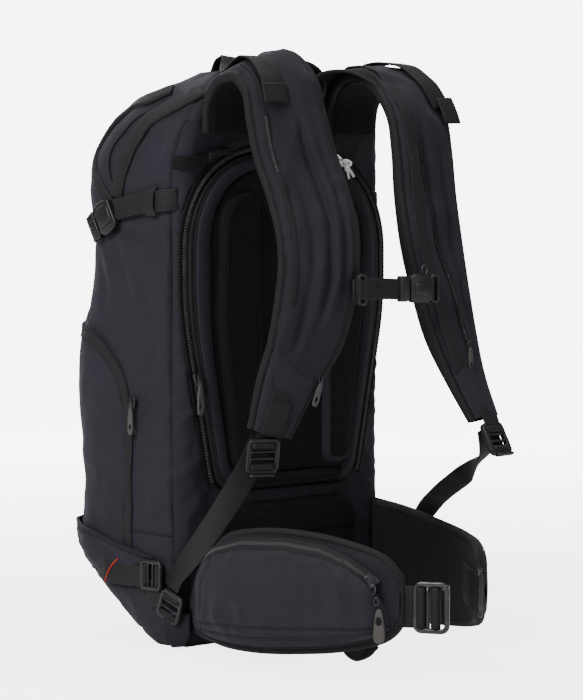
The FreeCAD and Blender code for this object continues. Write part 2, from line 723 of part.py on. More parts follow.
save("hip_webbing_right", hip_web(RIGHT_TIP, RIGHT_ALONG, 10))
frame_hole = centred_box(FRAME_LONG - 2 * FRAME_RIM, 2 * FRAME_THICK, FRAME_TALL - 2 * FRAME_RIM)
frame_plate = centred_box(FRAME_LONG, FRAME_THICK, FRAME_TALL).cut(frame_hole)
frame_plate = frame_plate.fuse(centred_box(FRAME_BAR, FRAME_THICK, FRAME_TALL, x=FRAME_BAR_AT))
frame_centre = RIGHT_TIP + RIGHT_ALONG * (11 + FRAME_LONG / 2)
save("hip_buckle_frame", placed(frame_plate, frame_centre, RIGHT_ALONG, (0, 0, 1)))

save("hip_webbing_left", hip_web(LEFT_TIP, LEFT_ALONG, 12))
hook = ladder_lock(HIP_WEB, HOOK_HEIGHT, SMALL_LOCK_THICK)
hook_centre = LEFT_TIP + LEFT_ALONG * (13 + HOOK_HEIGHT / 2)
save("hip_buckle_ladder", placed(hook, hook_centre, (0, 0, 1), LEFT_ALONG))

LEG_LOOP_AT = (-118, -205, 12)
save("leg_loop", placed(centred_box(4, 30, 14), LEG_LOOP_AT, (1, 0, 0), (0, 0, 1)))

# ---- compression straps -----------------------------------------------------------------------------
SIDE_OUT = 146.6             # the straps lie on the side at this distance from the middle
UPPER_Z = 436.0
LOWER_Z = 70.0
LOWER_WEB = 22.0


def on_side(inward, outward, back, front, middle, height):
    """Block outside the right side, between two distances off it, centred on a height."""
    low = (-SIDE_OUT - outward, back, middle - height / 2)
    high = (-SIDE_OUT - inward, front, middle + height / 2)
    return box(low, high)


upper_web = on_side(0, WEBBING, 8, 80, UPPER_Z, SMALL_WEB)
side_socket = on_side(0, 9, 80, 104, UPPER_Z, 34).cut(on_side(2, 7, 92, 106, UPPER_Z, 22))
for name, shape in (("compression_webbing_", upper_web), ("compression_socket_", side_socket)):
    save(name + "right", shape)
    save(name + "left", mirrored(shape))
side_tongue = on_side(0.6, 8, 105.5, 118, UPPER_Z, 30).fuse(on_side(3, 6, 94, 106, UPPER_Z, 16))
save("compression_tongues", both(side_tongue))

save("lower_webbing", both(on_side(0, WEBBING, 30, 96, LOWER_Z, LOWER_WEB)))
LOWER_LOCK_AT = (-SIDE_OUT - 6.2, 25, LOWER_Z + 2)
lower_lock = ladder_lock(LOWER_WEB, SMALL_LOCK_HEIGHT, SMALL_LOCK_THICK)
save("lower_adjusters", both(placed(lower_lock, LOWER_LOCK_AT, (0, 0, 1), (0, 1, 0))))
save("accent_loops", both(on_side(0.4, WEBBING, 80, 96, 96, 24)))

# ---- front pocket zip ---------------------------------------------------------------------------------
CHAIN_OUT = 146.4
SIDE_ZIP_Y = 54.0
SIDE_SLIDER_Z = 237.0
SIDE_PULL_Z = 236.0
side_chain = box((-CHAIN_OUT - 1, SIDE_ZIP_Y - 3, 118), (-CHAIN_OUT + 1.2, SIDE_ZIP_Y + 3, 258))
save("side_zips", both(side_chain).cut(outer))
save("side_zip_slider", centred_box(3.4, 8, 12, -CHAIN_OUT - 3.3, SIDE_ZIP_Y, SIDE_SLIDER_Z))
side_pull_at = (-CHAIN_OUT - 7.4, SIDE_ZIP_Y, SIDE_PULL_Z)
save("side_zip_pull", placed(zip_pull(30, 8, 2.4), side_pull_at, (0, 1, 0), (0, 0, 1)))

# ---- pull cord --------------------------------------------------------------------------------------
KNOT_R = 5.0
save("pull_cord_upper", tube(CORD_UPPER, CORD_R, "pull_cord_upper"))
save("pull_cord_lower", tube(CORD_LOWER, CORD_R, "pull_cord_lower"))
knot = Part.makeSphere(KNOT_R, Vector(*CORD_KNOT))
save("pull_cord_knot", knot.cut(nodes["pull_cord_upper"]).cut(nodes["pull_cord_lower"]))

print(len(nodes), "nodes")
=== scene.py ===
import math

import bpy
import numpy as np
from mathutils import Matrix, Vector


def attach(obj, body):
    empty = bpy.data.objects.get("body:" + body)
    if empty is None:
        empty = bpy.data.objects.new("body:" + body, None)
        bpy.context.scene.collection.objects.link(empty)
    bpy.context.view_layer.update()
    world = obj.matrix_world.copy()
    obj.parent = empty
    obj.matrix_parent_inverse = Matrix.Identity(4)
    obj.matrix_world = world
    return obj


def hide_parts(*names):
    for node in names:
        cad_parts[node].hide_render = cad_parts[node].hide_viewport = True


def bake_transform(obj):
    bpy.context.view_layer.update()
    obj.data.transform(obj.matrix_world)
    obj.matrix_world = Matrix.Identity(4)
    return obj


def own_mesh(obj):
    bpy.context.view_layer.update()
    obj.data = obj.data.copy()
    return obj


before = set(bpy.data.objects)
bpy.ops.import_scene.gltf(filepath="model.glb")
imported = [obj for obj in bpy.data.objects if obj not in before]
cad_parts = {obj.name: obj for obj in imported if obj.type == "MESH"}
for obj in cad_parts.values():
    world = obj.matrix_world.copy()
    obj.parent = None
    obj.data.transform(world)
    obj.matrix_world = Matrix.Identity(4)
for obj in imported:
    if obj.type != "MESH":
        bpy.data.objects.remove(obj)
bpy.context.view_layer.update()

# Looks of an avalanche airbag backpack. Lengths are in millimetres until a mesh is made.
# Right and left are the wearer's: right is -X, left is +X. The back panel faces -Y.
MM = 0.001


def metres(point):
    """A point in millimetres as a vector in metres."""
    return Vector([float(value) * MM for value in point])


# ---- camera -----------------------------------------------------------------------------------
TARGET = np.array([0.0, 40.0, 290.0])
DISTANCE = 2600.0
CAMERA_BACK = np.array([-0.694, -0.719, 0.0436])
CAMERA_RIGHT = np.array([0.7193, -0.6947, 0.0])
SIDEWAYS, DOWNWARD = 38.4, 5.2
ZOOM = 0.985
SENSOR, VIEW_HEIGHT = 36.0, 700.0

camera_data = bpy.data.cameras.new("camera")
camera = bpy.data.objects.new("camera", camera_data)
bpy.context.scene.collection.objects.link(camera)
bpy.context.scene.camera = camera
camera_data.sensor_width = SENSOR
camera_data.lens = ZOOM * DISTANCE * SENSOR / VIEW_HEIGHT
camera.location = metres(TARGET + DISTANCE * CAMERA_BACK)
aim = TARGET + CAMERA_RIGHT * SIDEWAYS - np.array([0.0, 0.0, DOWNWARD])
camera.rotation_mode = "QUATERNION"
camera.rotation_quaternion = (metres(aim) - camera.location).to_track_quat("-Z", "Y")


# ---- noise --------------------------------------------------------------------------------------
GRID = np.random.RandomState(7).rand(24, 24, 24) * 2 - 1


def noise(points, scale, shift=0.0):
    """Smooth random values in -1..1 at points, with features of the given size."""
    place = np.asarray(points, float) / np.asarray(scale, float) + shift
    cell = np.floor(place).astype(int)
    part = place - cell
    part = part * part * (3 - 2 * part)
    total = np.zeros(place.shape[:-1])
    for corner in range(8):
        step = np.array([corner & 1, corner >> 1 & 1, corner >> 2 & 1])
        weight = np.prod(np.where(step, part, 1 - part), axis=-1)
        index = (cell + step) % 24
        total += weight * GRID[index[..., 0], index[..., 1], index[..., 2]]
    return total


def folds(points, scale, shift=0.0):
    """Ridged noise: soft rounded cloth with narrow valleys, in -1..1."""
    value = noise(points, scale, shift) + 0.5 * noise(points, np.asarray(scale) * 0.5, shift + 5)
    return 1 - 2 * np.abs(value)


def rise(value, low, high):
    """Smooth step from 0 at low to 1 at high."""
    t = np.clip((np.asarray(value, float) - low) / (high - low), 0, 1)
    return t * t * (3 - 2 * t)


# ---- meshes -------------------------------------------------------------------------------------
def make_object(name, verts, faces, material, body, uvs=None):
    """New mesh piece from points in millimetres, with a material by name, that rides on a body."""
    mesh = bpy.data.meshes.new(name)
    mesh.from_pydata((np.asarray(verts, float) * MM).tolist(), [], faces)
    if uvs is not None:
        layer = mesh.uv_layers.new(name="weave")
        loops = np.zeros(len(mesh.loops), int)
        mesh.loops.foreach_get("vertex_index", loops)
        layer.data.foreach_set("uv", (np.asarray(uvs, float)[loops] * MM).astype(np.float32).ravel())
    mesh.polygons.foreach_set("use_smooth", [True] * len(mesh.polygons))
    mesh.update()
    obj = bpy.data.objects.new(name, mesh)
    bpy.context.scene.collection.objects.link(obj)
    mesh.materials.append(MATERIALS[material])
    if body:
        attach(obj, body)
    return obj


def quads(rows, columns, ring=False, flip=False):
    """Faces of a grid of rows x columns points, closed along the columns if ring."""
    faces = []
    last = columns if ring else columns - 1
    for row in range(rows - 1):
        for column in range(last):
            after = (column + 1) % columns
            face = [row * columns + column, row * columns + after,
                    (row + 1) * columns + after, (row + 1) * columns + column]
            faces.append(face[::-1] if flip else face)
    return faces


def lengths(points):
    """Distance along a route at each of its points."""
    steps = np.linalg.norm(np.diff(points, axis=0), axis=1)
    return np.concatenate([[0], np.cumsum(steps)])


def sample(points, at, distance=None):
    """Points of a route at given distances along it."""
    points = np.asarray(points, float)
    distance = lengths(points) if distance is None else distance
    return np.column_stack([np.interp(at, distance, column) for column in points.T])


def smooth_rows(rows, count):
    """Rows of numbers resampled along a smooth curve through them, spaced by their first three columns."""
    rows = np.asarray(rows, float)
    knots = lengths(rows[:, :3]) + np.arange(len(rows)) * 1e-6
    return hermite(np.linspace(0, knots[-1], count), knots, rows)


def hermite(at, knots, values):
    """Smooth interpolation of values at knots, with one slope at each knot."""
    values = np.asarray(values, float)
    knots = np.asarray(knots, float)
    slopes = np.gradient(values, knots, axis=0)
    index = np.clip(np.searchsorted(knots, at, side="right") - 1, 0, len(knots) - 2)
    gap = knots[index + 1] - knots[index]
    t = (np.asarray(at) - knots[index]) / gap
    if values.ndim > 1:
        t, gap = t[..., None], gap[..., None]
    return ((2 * t ** 3 - 3 * t ** 2 + 1) * values[index] + (t ** 3 - 2 * t ** 2 + t) * gap * slopes[index]
            + (3 * t ** 2 - 2 * t ** 3) * values[index + 1] + (t ** 3 - t ** 2) * gap * slopes[index + 1])


def unit(vectors):
    """Vectors scaled to length 1."""
    vectors = np.asarray(vectors, float)
    return vectors / np.maximum(np.linalg.norm(vectors, axis=-1, keepdims=True), 1e-9)


def sheet_grid(name, grid, material, body, uvs=None, thickness=0.0, flip=False, ring=False):
    """Piece from a grid of points (rows, columns, 3), closed along the columns if ring, or with a thickness."""
    rows, columns = grid.shape[:2]
    if uvs is None:
        along = np.mean([lengths(grid[:, column]) for column in (0, columns // 2, columns - 1)], axis=0)
        across = np.mean([lengths(grid[row]) for row in (0, rows // 2, rows - 1)], axis=0)
        uvs = np.stack(np.meshgrid(across, along), axis=-1)
    obj = make_object(name, grid.reshape(-1, 3), quads(rows, columns, ring, flip), material, body,
                      uvs.reshape(-1, 2))
    if thickness:
        solid = obj.modifiers.new("thickness", "SOLIDIFY")
        solid.thickness = thickness * MM
        solid.offset = -1
    return obj


def axes_along(points, across):
    """Unit directions along, across and out of a band at each of its points."""
    along = unit(np.gradient(points, axis=0))
    across = unit(across - along * np.sum(along * across, axis=1, keepdims=True))
    return along, across, np.cross(along, across)


def sweep(name, points, across, widths, section, material, body, caps=True):
    """Band along points: section(i, width) gives its (across, out) offsets in millimetres, as a ring."""
    along, across, out = axes_along(points, across)
    rings, uv_rows = [], []
    distance = lengths(points)
    for index, point in enumerate(points):
        ring = np.asarray(section(index, widths[index]), float)
        rings.append(point + ring[:, :1] * across[index] + ring[:, 1:] * out[index])
        uv_rows.append(np.column_stack([ring[:, 0], np.full(len(ring), distance[index])]))
    rings = np.array(rings)
    rows, columns = rings.shape[:2]
    faces = quads(rows, columns, ring=True)
    if caps:
        faces.append(list(range(columns))[::-1])
        faces.append([(rows - 1) * columns + index for index in range(columns)])
    return make_object(name, rings.reshape(-1, 3), faces, material, body, np.concatenate(uv_rows))


def rounded_ring(width, thick, corner=0.45, arc=3):
    """Cross-section of a flat band with rounded edges, anticlockwise."""
    radius = thick * corner
    ring = []
    for cx, cy, start in ((1, -1, -90), (1, 1, 0), (-1, 1, 90), (-1, -1, 180)):
        for step in range(arc + 1):
            angle = math.radians(start + 90 * step / arc)
            ring.append((cx * (width / 2 - radius) + radius * math.cos(angle),
                         cy * (thick / 2 - radius) + radius * math.sin(angle)))
    return ring


def band(name, points, across, width, thick, material, body, count=0, wave=0.0):
    """Webbing or tape of constant width along points."""
    points = np.asarray(points, float)
    across = np.asarray(across, float)
    if across.ndim == 1:
        across = np.repeat(across[None], len(points), axis=0)
    count = count or max(6, int(lengths(points)[-1] / 4))
    rows = smooth_rows(np.column_stack([points, across]), count)
    place = rows[:, :3]
    if wave:
        along, side, out = axes_along(place, rows[:, 3:])
        place = place + out * (wave * noise(place, 22.0))[:, None]
    widths = np.full(count, float(width))
    ring = rounded_ring(width, thick)
    return sweep(name, place, rows[:, 3:], widths, lambda index, size: ring, material, body)


def tube(name, points, radius, material, body, sides=8, count=0):
    """Round cord or piping along points."""
    points = np.asarray(points, float)
    count = count or max(8, int(lengths(points)[-1] / max(radius * 1.2, 1.5)))
    place = smooth_rows(points, count)
    along = unit(np.gradient(place, axis=0))
    side = np.cross(along, [0.31, 0.17, 0.93])
    angles = np.linspace(0, 2 * math.pi, sides, endpoint=False)
    ring = np.column_stack([np.cos(angles), np.sin(angles)]) * radius
    return sweep(name, place, side, np.ones(count), lambda index, size: ring, material, body)


def join(name, pieces):
    """Several meshes of one body and one material as one piece."""
    first = pieces[0]
    with bpy.context.temp_override(active_object=first, selected_editable_objects=pieces):
        bpy.ops.object.join()
    first.name = name
    return first


def bevelled(name, verts, faces, material, body, width=0.6, levels=2):
    """Hard piece with rounded edges."""
    obj = make_object(name, verts, faces, material, body)
    edge = obj.modifiers.new("edges", "BEVEL")
    edge.width = width * MM
    edge.segments = levels
    edge.limit_method = "ANGLE"
    edge.angle_limit = math.radians(40)
    return obj


def merged(parts):
    """Several (verts, faces) lists as one."""
    verts, faces = [], []
    for part_verts, part_faces in parts:
        start = len(verts)
        verts.extend(tuple(vert) for vert in part_verts)
        faces.extend([start + index for index in face] for face in part_faces)
    return verts, faces


def placed(verts, centre, across, up):
    """Points in their own axes (x across, y inward, z up) moved to a place on the pack."""
    across = unit(across)
    up = unit(np.asarray(up, float) - across * np.dot(across, up))
    inward = np.cross(up, across)
    verts = np.asarray(verts, float)
    return np.asarray(centre) + verts[:, :1] * across + verts[:, 1:2] * inward + verts[:, 2:3] * up


# ---- materials ----------------------------------------------------------------------------------
class Shader:
    """A material and short calls to build its nodes."""

    def __init__(self, name):
        self.material = bpy.data.materials.new(name)
        self.material.use_nodes = True
        self.tree = self.material.node_tree
        self.surface = self.tree.nodes["Principled BSDF"]

    def add(self, kind, inputs=None, **settings):
        """One node, with inputs given as values or as sockets of other nodes."""
        node = self.tree.nodes.new("ShaderNode" + kind)
        for key, value in settings.items():
            setattr(node, key, value)
        for key, value in (inputs or {}).items():
            self.feed(node.inputs[key], value)
        return node

    def feed(self, socket, value):
        """Value or socket of another node into an input."""
        if isinstance(value, bpy.types.NodeSocket):
            self.tree.links.new(value, socket)
        else:
            socket.default_value = value

    def math(self, operation, first, second=0.0, third=0.0):
        """Result of one arithmetic step."""
        node = self.add("Math", {0: first, 1: second, 2: third}, operation=operation)
        return node.outputs[0]

    def mix(self, factor, low, high):
        """Colour between low and high."""
        return self.add("Mix", {0: factor, 6: low, 7: high}, data_type="RGBA").outputs[2]

    def noise(self, vector, scale, detail=2.0):
        """Fractal noise in 0..1."""
        node = self.add("TexNoise", {"Vector": vector, "Scale": scale, "Detail": detail})
        return node.outputs["Fac"]

    def stretch(self, value, low, high, new_low, new_high):
        """Value mapped from one range to another, clamped."""
        node = self.add("MapRange", {0: value, 1: low, 2: high, 3: new_low, 4: new_high})
        return node.outputs[0]

    def bump(self, height, distance, strength=1.0, normal=None):
        """Normal from a height in millimetres."""
        inputs = {"Height": height, "Distance": distance * MM, "Strength": strength}
        if normal:
            inputs["Normal"] = normal
        return self.add("Bump", inputs).outputs["Normal"]

    def set(self, **values):
        """Inputs of the surface shader, by name with underscores for spaces."""
        for key, value in values.items():
            self.feed(self.surface.inputs[key.replace("_", " ")], value)


def shade(color, factor):
    """A colour with alpha, made lighter or darker."""
    return tuple(min(1.0, channel * factor) for channel in color) + (1.0,)


def waves(shader, coordinate, pitch, shift=0.0):
    """Rounded ridges 0..1 with the given pitch in millimetres along a coordinate in metres."""
    turn = shader.math("MULTIPLY", coordinate, 2 * math.pi / (pitch * MM))
    return shader.math("MULTIPLY_ADD", shader.math("SINE", shader.math("ADD", turn, shift)), 0.5, 0.5)


def lines(shader, coordinate, pitch, share):
    """1 on narrow lines that repeat with the pitch, else 0."""
    phase = shader.math("FRACT", shader.math("DIVIDE", coordinate, pitch * MM))
    centred = shader.math("ABSOLUTE", shader.math("SUBTRACT", phase, 0.5))
    return shader.stretch(centred, share * 0.35, share * 0.65, 1.0, 0.0)


def cloth(name, color, weave, pitch, roughness=0.8, sheen=0.04, variation=0.25, grid=0.0, depth=0.12):
    """Woven or knitted fabric. Its weave follows the piece's own coordinates in metres."""
    shader = Shader(name)
    place = shader.add("TexCoord").outputs["Object"]
    pins = shader.add("SeparateXYZ", {0: shader.add("UVMap", uv_map="weave").outputs[0]})
    across, along = pins.outputs[0], pins.outputs[1]
    patches = shader.noise(place, 14.0, 3.0)
    fibres = shader.noise(place, 900.0, 2.0)
    if weave == "plain":
        height = shader.math("MULTIPLY", waves(shader, across, pitch), waves(shader, along, pitch))
    elif weave == "ribbed":
        ribs = waves(shader, across, pitch * 1.6)
        picks = waves(shader, along, pitch)
        height = shader.math("MULTIPLY_ADD", ribs, 0.45, shader.math("MULTIPLY", picks, 0.55))
    elif weave == "twill":
        height = waves(shader, shader.math("ADD", across, along), pitch)
    else:
        cells = shader.add("TexVoronoi", {"Vector": place, "Scale": 1000.0 / pitch, "Randomness": 0.25})
        height = shader.stretch(cells.outputs["Distance"], 0.18, 0.5, 0.0, 1.0)
    tone = shader.stretch(patches, 0.3, 0.7, 0.0, 1.0)
    tinted = shader.mix(tone, shade(color, 1 - variation), shade(color, 1 + variation))
    thread = shader.math("MULTIPLY_ADD", height, 0.5, shader.math("MULTIPLY", fibres, 0.5))
    woven = shader.mix(thread, shade(color, 0.62), shade(color, 1.22))
    base = shader.mix(0.55, tinted, woven)
    normal = shader.bump(height, depth)
    if grid:
        cross = shader.math("MAXIMUM", lines(shader, across, grid, 0.16), lines(shader, along, grid, 0.16))
        worn = shader.math("MULTIPLY", cross, shader.stretch(fibres, 0.3, 0.7, 0.35, 1.0))
        base = shader.mix(worn, base, shade(color, 1.16))
        normal = shader.bump(cross, 0.03, 1.0, normal)
    crinkle = shader.noise(place, 90.0, 5.0)
    normal = shader.bump(crinkle, 0.7, 0.6, normal)
    shader.set(Base_Color=base, Roughness=shader.stretch(fibres, 0.2, 0.8, roughness - 0.1, roughness + 0.08),
               Normal=normal, Sheen_Weight=sheen, Sheen_Roughness=0.45, Specular_IOR_Level=0.3)
    shader.surface.inputs["Sheen Tint"].default_value = (0.75, 0.78, 1.0, 1.0)
    return shader.material


def moulded(name, color, roughness, grain=420.0, depth=0.05, metallic=0.0, wear=1.6):
    """Moulded plastic, rubber or coated metal with fine grain and lighter rubbed patches."""
    shader = Shader(name)
    place = shader.add("TexCoord").outputs["Object"]
    grains = shader.noise(place, grain, 3.0)
    rubbed = shader.noise(place, 55.0, 4.0)
    worn = shader.stretch(rubbed, 0.55, 0.75, 0.0, 1.0)
    base = shader.mix(worn, shade(color, 0.9), shade(color, wear))
    shine = shader.math("MULTIPLY_ADD", grains, 0.16, roughness - 0.08)
    shader.set(Base_Color=base, Roughness=shine, Normal=shader.bump(grains, depth), Metallic=metallic,
               Specular_IOR_Level=0.45)
    return shader.material


NAVY = (0.0148, 0.0147, 0.0214)
GREY = (0.0074, 0.0076, 0.0079)
BLACK = (0.0016, 0.0016, 0.0018)
MATERIALS = {
    "ripstop": cloth("ripstop_nylon", NAVY, "plain", 0.9, grid=5.0, sheen=0.05),
    "panel": cloth("plain_nylon", (0.0140, 0.0140, 0.0205), "plain", 0.8, sheen=0.05),
    "strap": cloth("strap_nylon", (0.0120, 0.0120, 0.0170), "twill", 0.9, sheen=0.05),
    "binding": cloth("binding_tape", (0.0080, 0.0080, 0.0090), "ribbed", 1.3, roughness=0.75, depth=0.2),
    "webbing": cloth("webbing", GREY, "ribbed", 1.5, roughness=0.62, sheen=0.03, variation=0.12, depth=0.3),
    "tape": cloth("zip_tape", (0.0098, 0.0099, 0.0107), "ribbed", 1.0, roughness=0.7, sheen=0.03, depth=0.15),
    "foam": cloth("foam_knit", BLACK, "knit", 1.7, roughness=0.92, sheen=0.0, variation=0.15, depth=0.25),
    "mesh": cloth("spacer_mesh", (0.0026, 0.0026, 0.0029), "knit", 2.4, roughness=0.9, sheen=0.0, depth=0.5),
    "wing_mesh": cloth("wing_mesh", (0.0066, 0.0066, 0.0074), "knit", 2.4, roughness=0.9, sheen=0.02,
                       depth=0.6),
    "lining": cloth("lining_nylon", (0.020, 0.020, 0.024), "plain", 0.8, sheen=0.1),
    "accent": cloth("accent_webbing", (0.42, 0.018, 0.012), "ribbed", 0.9, roughness=0.7),
    "airbag": cloth("airbag_nylon", (0.62, 0.16, 0.03), "plain", 0.8, roughness=0.6),
    "cord": cloth("braided_cord", (0.88, 0.88, 0.89), "twill", 1.1, roughness=0.75, variation=0.06,
                  depth=0.3),
    "zip_base": cloth("zip_base", (0.0030, 0.0030, 0.0032), "ribbed", 1.0, roughness=0.8, sheen=0.0),
    "thread": cloth("thread", (0.026, 0.027, 0.031), "twill", 0.5, roughness=0.65, variation=0.1),
    "dark_thread": cloth("dark_thread", (0.008, 0.008, 0.010), "twill", 0.5, roughness=0.7, variation=0.1),
    "plastic": moulded("moulded_plastic", (0.0112, 0.0112, 0.0121), 0.38, wear=1.5),
    "coil": moulded("zip_coil", (0.050, 0.050, 0.052), 0.3, wear=1.5),
    "metal": moulded("coated_metal", (0.060, 0.060, 0.065), 0.34, metallic=0.85, wear=1.9),
    "slider": moulded("slider_metal", (0.05, 0.05, 0.055), 0.3, metallic=0.7, wear=3.2),
    "rubber": moulded("pull_rubber", (0.060, 0.055, 0.052), 0.6, depth=0.08, wear=1.25),
    "alloy": moulded("brushed_alloy", (0.55, 0.56, 0.58), 0.3, metallic=1.0, wear=1.1),
    "steel": moulded("cartridge_paint", (0.42, 0.43, 0.45), 0.4, metallic=0.6, wear=1.2),
    "red": moulded("release_plastic", (0.55, 0.05, 0.025), 0.4, wear=1.2),
}


# ---- pull cord under the right strap ------------------------------------------------------------
CORD_THICK = 2.6
CORD_ROUTES = {
    "pull_cord_upper": ([(-47, -87, 492), (-36, -92.5, 488), (-26, -97, 482), (-17, -100, 475)], 37.2),
    "pull_cord_lower": ([(-48, -87, 486), (-38, -93, 484), (-28, -98, 478), (-19, -101.5, 471)], 36.3),
}


def spline_cord(name, node, route):
    """Free cord as one smooth curve through its route."""
    curve = bpy.data.curves.new(name, "CURVE")
    curve.dimensions = "3D"
    curve.bevel_depth = CORD_THICK / 2 * MM
    curve.bevel_resolution = 4
    curve.use_fill_caps = True
    spline = curve.splines.new("NURBS")
    spline.points.add(len(route) - 1)
    for point, place in zip(spline.points, route):
        point.co = (*metres(place), 1.0)
    spline.order_u = 3
    spline.use_endpoint_u = True
    spline.resolution_u = 12
    obj = bpy.data.objects.new(name, curve)
    bpy.context.scene.collection.objects.link(obj)
    curve.materials.append(MATERIALS["cord"])
    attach(obj, "pack")
    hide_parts(node)
    return obj


def overhand_knot(centre, size):
    """Knot with two short tails at the free end of the pull cord."""
    turns = np.linspace(0, 2 * math.pi, 60)
    loops = np.column_stack([
        (np.sin(turns) + 2 * np.sin(2 * turns)) * size * 0.36,
        -np.sin(3 * turns) * size * 0.42,
        (np.cos(turns) - 2 * np.cos(2 * turns)) * size * 0.36,
    ])
    body = tube("knot_turns", np.asarray(centre) + loops, CORD_THICK / 2, "cord", "pack", count=90)
    tails = []
    for end in ((8, -3, -12), (0, -4, -14)):
        route = [np.asarray(centre) + np.asarray(end) * share for share in (0.0, 0.5, 1.0)]
        tails.append(tube("knot_tail", route, CORD_THICK / 2, "cord", "pack", count=10))
    return join("cord_knot", [body] + tails)


KNOT = overhand_knot((-12.5, -102, 470), 5.2)
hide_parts("pull_cord_knot")
for cord_name, (cord_route, cord_length) in CORD_ROUTES.items():
    spline_cord(cord_name.replace("pull_cord", "white_cord"), cord_name, cord_route)


# ---- floor and light ----------------------------------------------------------------------------
NEAR_FLOOR, FAR_FLOOR = 0.45, 2.2
# Camera-only floor glow, weaker near the pack than far out: a painted shade round the pack.
SHADED_NEAR_GLOW, FAR_GLOW = 3.7, 6.7
FLOOR_HALF = 9000
AMBIENT, SURROUND = 0.20, 7.0
LAMP_AIM = (0, 30, 280)


def studio():
    """Pale floor that runs into a pale surround, with soft light from above and both sides. The floor glows for
    the camera only, and less near the pack: a painted shade round the pack.
    """
    floor_shader = Shader("floor")
    place = floor_shader.add("TexCoord").outputs["Object"]
    tone = floor_shader.mix(floor_shader.noise(place, 3.0), (0.88, 0.88, 0.88, 1), (0.92, 0.92, 0.92, 1))
    floor_shader.set(Base_Color=tone, Roughness=0.7, Specular_IOR_Level=0.1)
    direct = floor_shader.add("LightPath").outputs["Is Camera Ray"]
    away = floor_shader.add("VectorMath", {0: place}, operation="LENGTH").outputs["Value"]
    # Glow grows with distance from the pack, so the floor near it is darker: painted shade.
    glow_shaded_near_pack = floor_shader.stretch(away, NEAR_FLOOR, FAR_FLOOR, SHADED_NEAR_GLOW, FAR_GLOW)
    glow = floor_shader.math("MULTIPLY", direct, glow_shaded_near_pack)
    floor_shader.surface.inputs["Emission Color"].default_value = (1.0, 1.0, 1.0, 1.0)
    floor_shader.set(Emission_Strength=glow)
    corners = [(x * FLOOR_HALF, y * FLOOR_HALF, 0) for x, y in ((-1, -1), (1, -1), (1, 1), (-1, 1))]
    MATERIALS["floor"] = floor_shader.material
    floor = make_object("studio_floor", corners, [(0, 1, 2, 3)], "floor", None)
    world = bpy.data.worlds.new("surround")
    bpy.context.scene.world = world
    world.use_nodes = True
    tree = world.node_tree
    background = tree.nodes["Background"]
    background.inputs["Color"].default_value = (1.0, 1.0, 1.0, 1.0)
    seen = tree.nodes.new("ShaderNodeLightPath").outputs["Is Camera Ray"]
    strength = tree.nodes.new("ShaderNodeMapRange")
    strength.inputs["To Min"].default_value = AMBIENT
    strength.inputs["To Max"].default_value = SURROUND
    tree.links.new(seen, strength.inputs["Value"])
    tree.links.new(strength.outputs[0], background.inputs["Strength"])
    lamps = {
        "key": ((-2400, -350, 1900), 1100, 72.0),
        "fill": ((300, -2500, 1300), 1500, 9.0),
        "top": ((100, 200, 2600), 1800, 42.0),
        "back": ((600, 2300, 1500), 1600, 26.0),
    }
    for name, (place, size, power) in lamps.items():
        lamp = bpy.data.lights.new(name, "AREA")
        lamp.shape = "DISK"
        lamp.size = size * MM
        lamp.energy = power
        holder = bpy.data.objects.new(name, lamp)
        bpy.context.scene.collection.objects.link(holder)
        holder.location = metres(place)
        holder.rotation_mode = "QUATERNION"
        holder.rotation_quaternion = (metres(LAMP_AIM) - holder.location).to_track_quat("-Z", "Y")


studio()


# ---- form of the body ---------------------------------------------------------------------------
# height, half width, back and front of the main body
PROFILE = np.array([
    (0, 135, -2, 62), (8, 143, -4, 72), (35, 145, -4, 105), (70, 145, -4, 148), (105, 145, -3, 161),
    (160, 145, -1, 154), (240, 145, 0, 161), (300, 145, 0, 158), (345, 145, 0, 149), (400, 145, 0, 143),
    (450, 145, 0, 146), (485, 142, -4, 142), (520, 131, -12, 112), (545, 112, -14, 84), (562, 82, -6, 54),
], float)
BACK_RADIUS = 16.0
FRONT_RADIUS = 50.0
BASE_TOP = 14.0
LID_BOTTOM = 512.0
CORNER_X = 96.0
CREASE_DEPTH, CREASE_WIDTH = 1.7, 1.7
STRAP_PRESS, STRAP_AT, STRAP_REACH = 0.8, 424, 24.0


def profile(z):
    """Half width, back and front of the body at heights z."""
    values = hermite(np.clip(z, 0, PROFILE[-1, 0]), PROFILE[:, 0], PROFILE[:, 1:])
    return values[..., 0], values[..., 1], values[..., 2]


def ring_parts(z):
    """Lengths of the five stretches of half an outline, from the front centre to the back centre."""
    half, back, front = profile(z)
    rear = np.minimum(BACK_RADIUS, half * 0.4)
    nose = np.minimum(FRONT_RADIUS, (front - back) * 0.6)
    return half, back, front, rear, nose, [
        half - nose, nose * math.pi / 2, front - nose - back - rear, rear * math.pi / 2, half - rear]


def wrap(w, z):
    """Points on the body at distance w round the outline from the front centre (right is negative)."""
    w, z = np.broadcast_arrays(np.asarray(w, float), np.asarray(z, float))
    half, back, front, rear, nose, parts = ring_parts(z)
    side = np.where(w < 0, -1.0, 1.0)
    s = np.abs(w)
    ends = np.cumsum(parts, axis=0)
    turn_nose = np.clip((s - ends[0]) / nose, 0, math.pi / 2)
    turn_rear = np.clip((s - ends[2]) / rear, 0, math.pi / 2)
    x = np.select([s <= ends[0], s <= ends[1], s <= ends[2], s <= ends[3]],
                  [s, half - nose + nose * np.sin(turn_nose), half, half - rear + rear * np.cos(turn_rear)],
                  half - rear - (s - ends[3]))
    y = np.select(
        [s <= ends[0], s <= ends[1], s <= ends[2], s <= ends[3]],
        [front, front - nose + nose * np.cos(turn_nose), front - nose - (s - ends[1]),
         back + rear - rear * np.sin(turn_rear)], back)
    return np.stack([side * x, y, z], axis=-1)


def wrap_out(w, z):
    """Outward directions of the body's surface."""
    w, z = np.broadcast_arrays(np.asarray(w, float), np.asarray(z, float))
    high = np.minimum(z + 2, PROFILE[-1, 0])
    low = np.maximum(high - 4, 0)
    around = wrap(w + 1.0, z) - wrap(w - 1.0, z)
    upward = wrap(w, high) - wrap(w, low)
    return unit(np.cross(upward, around))


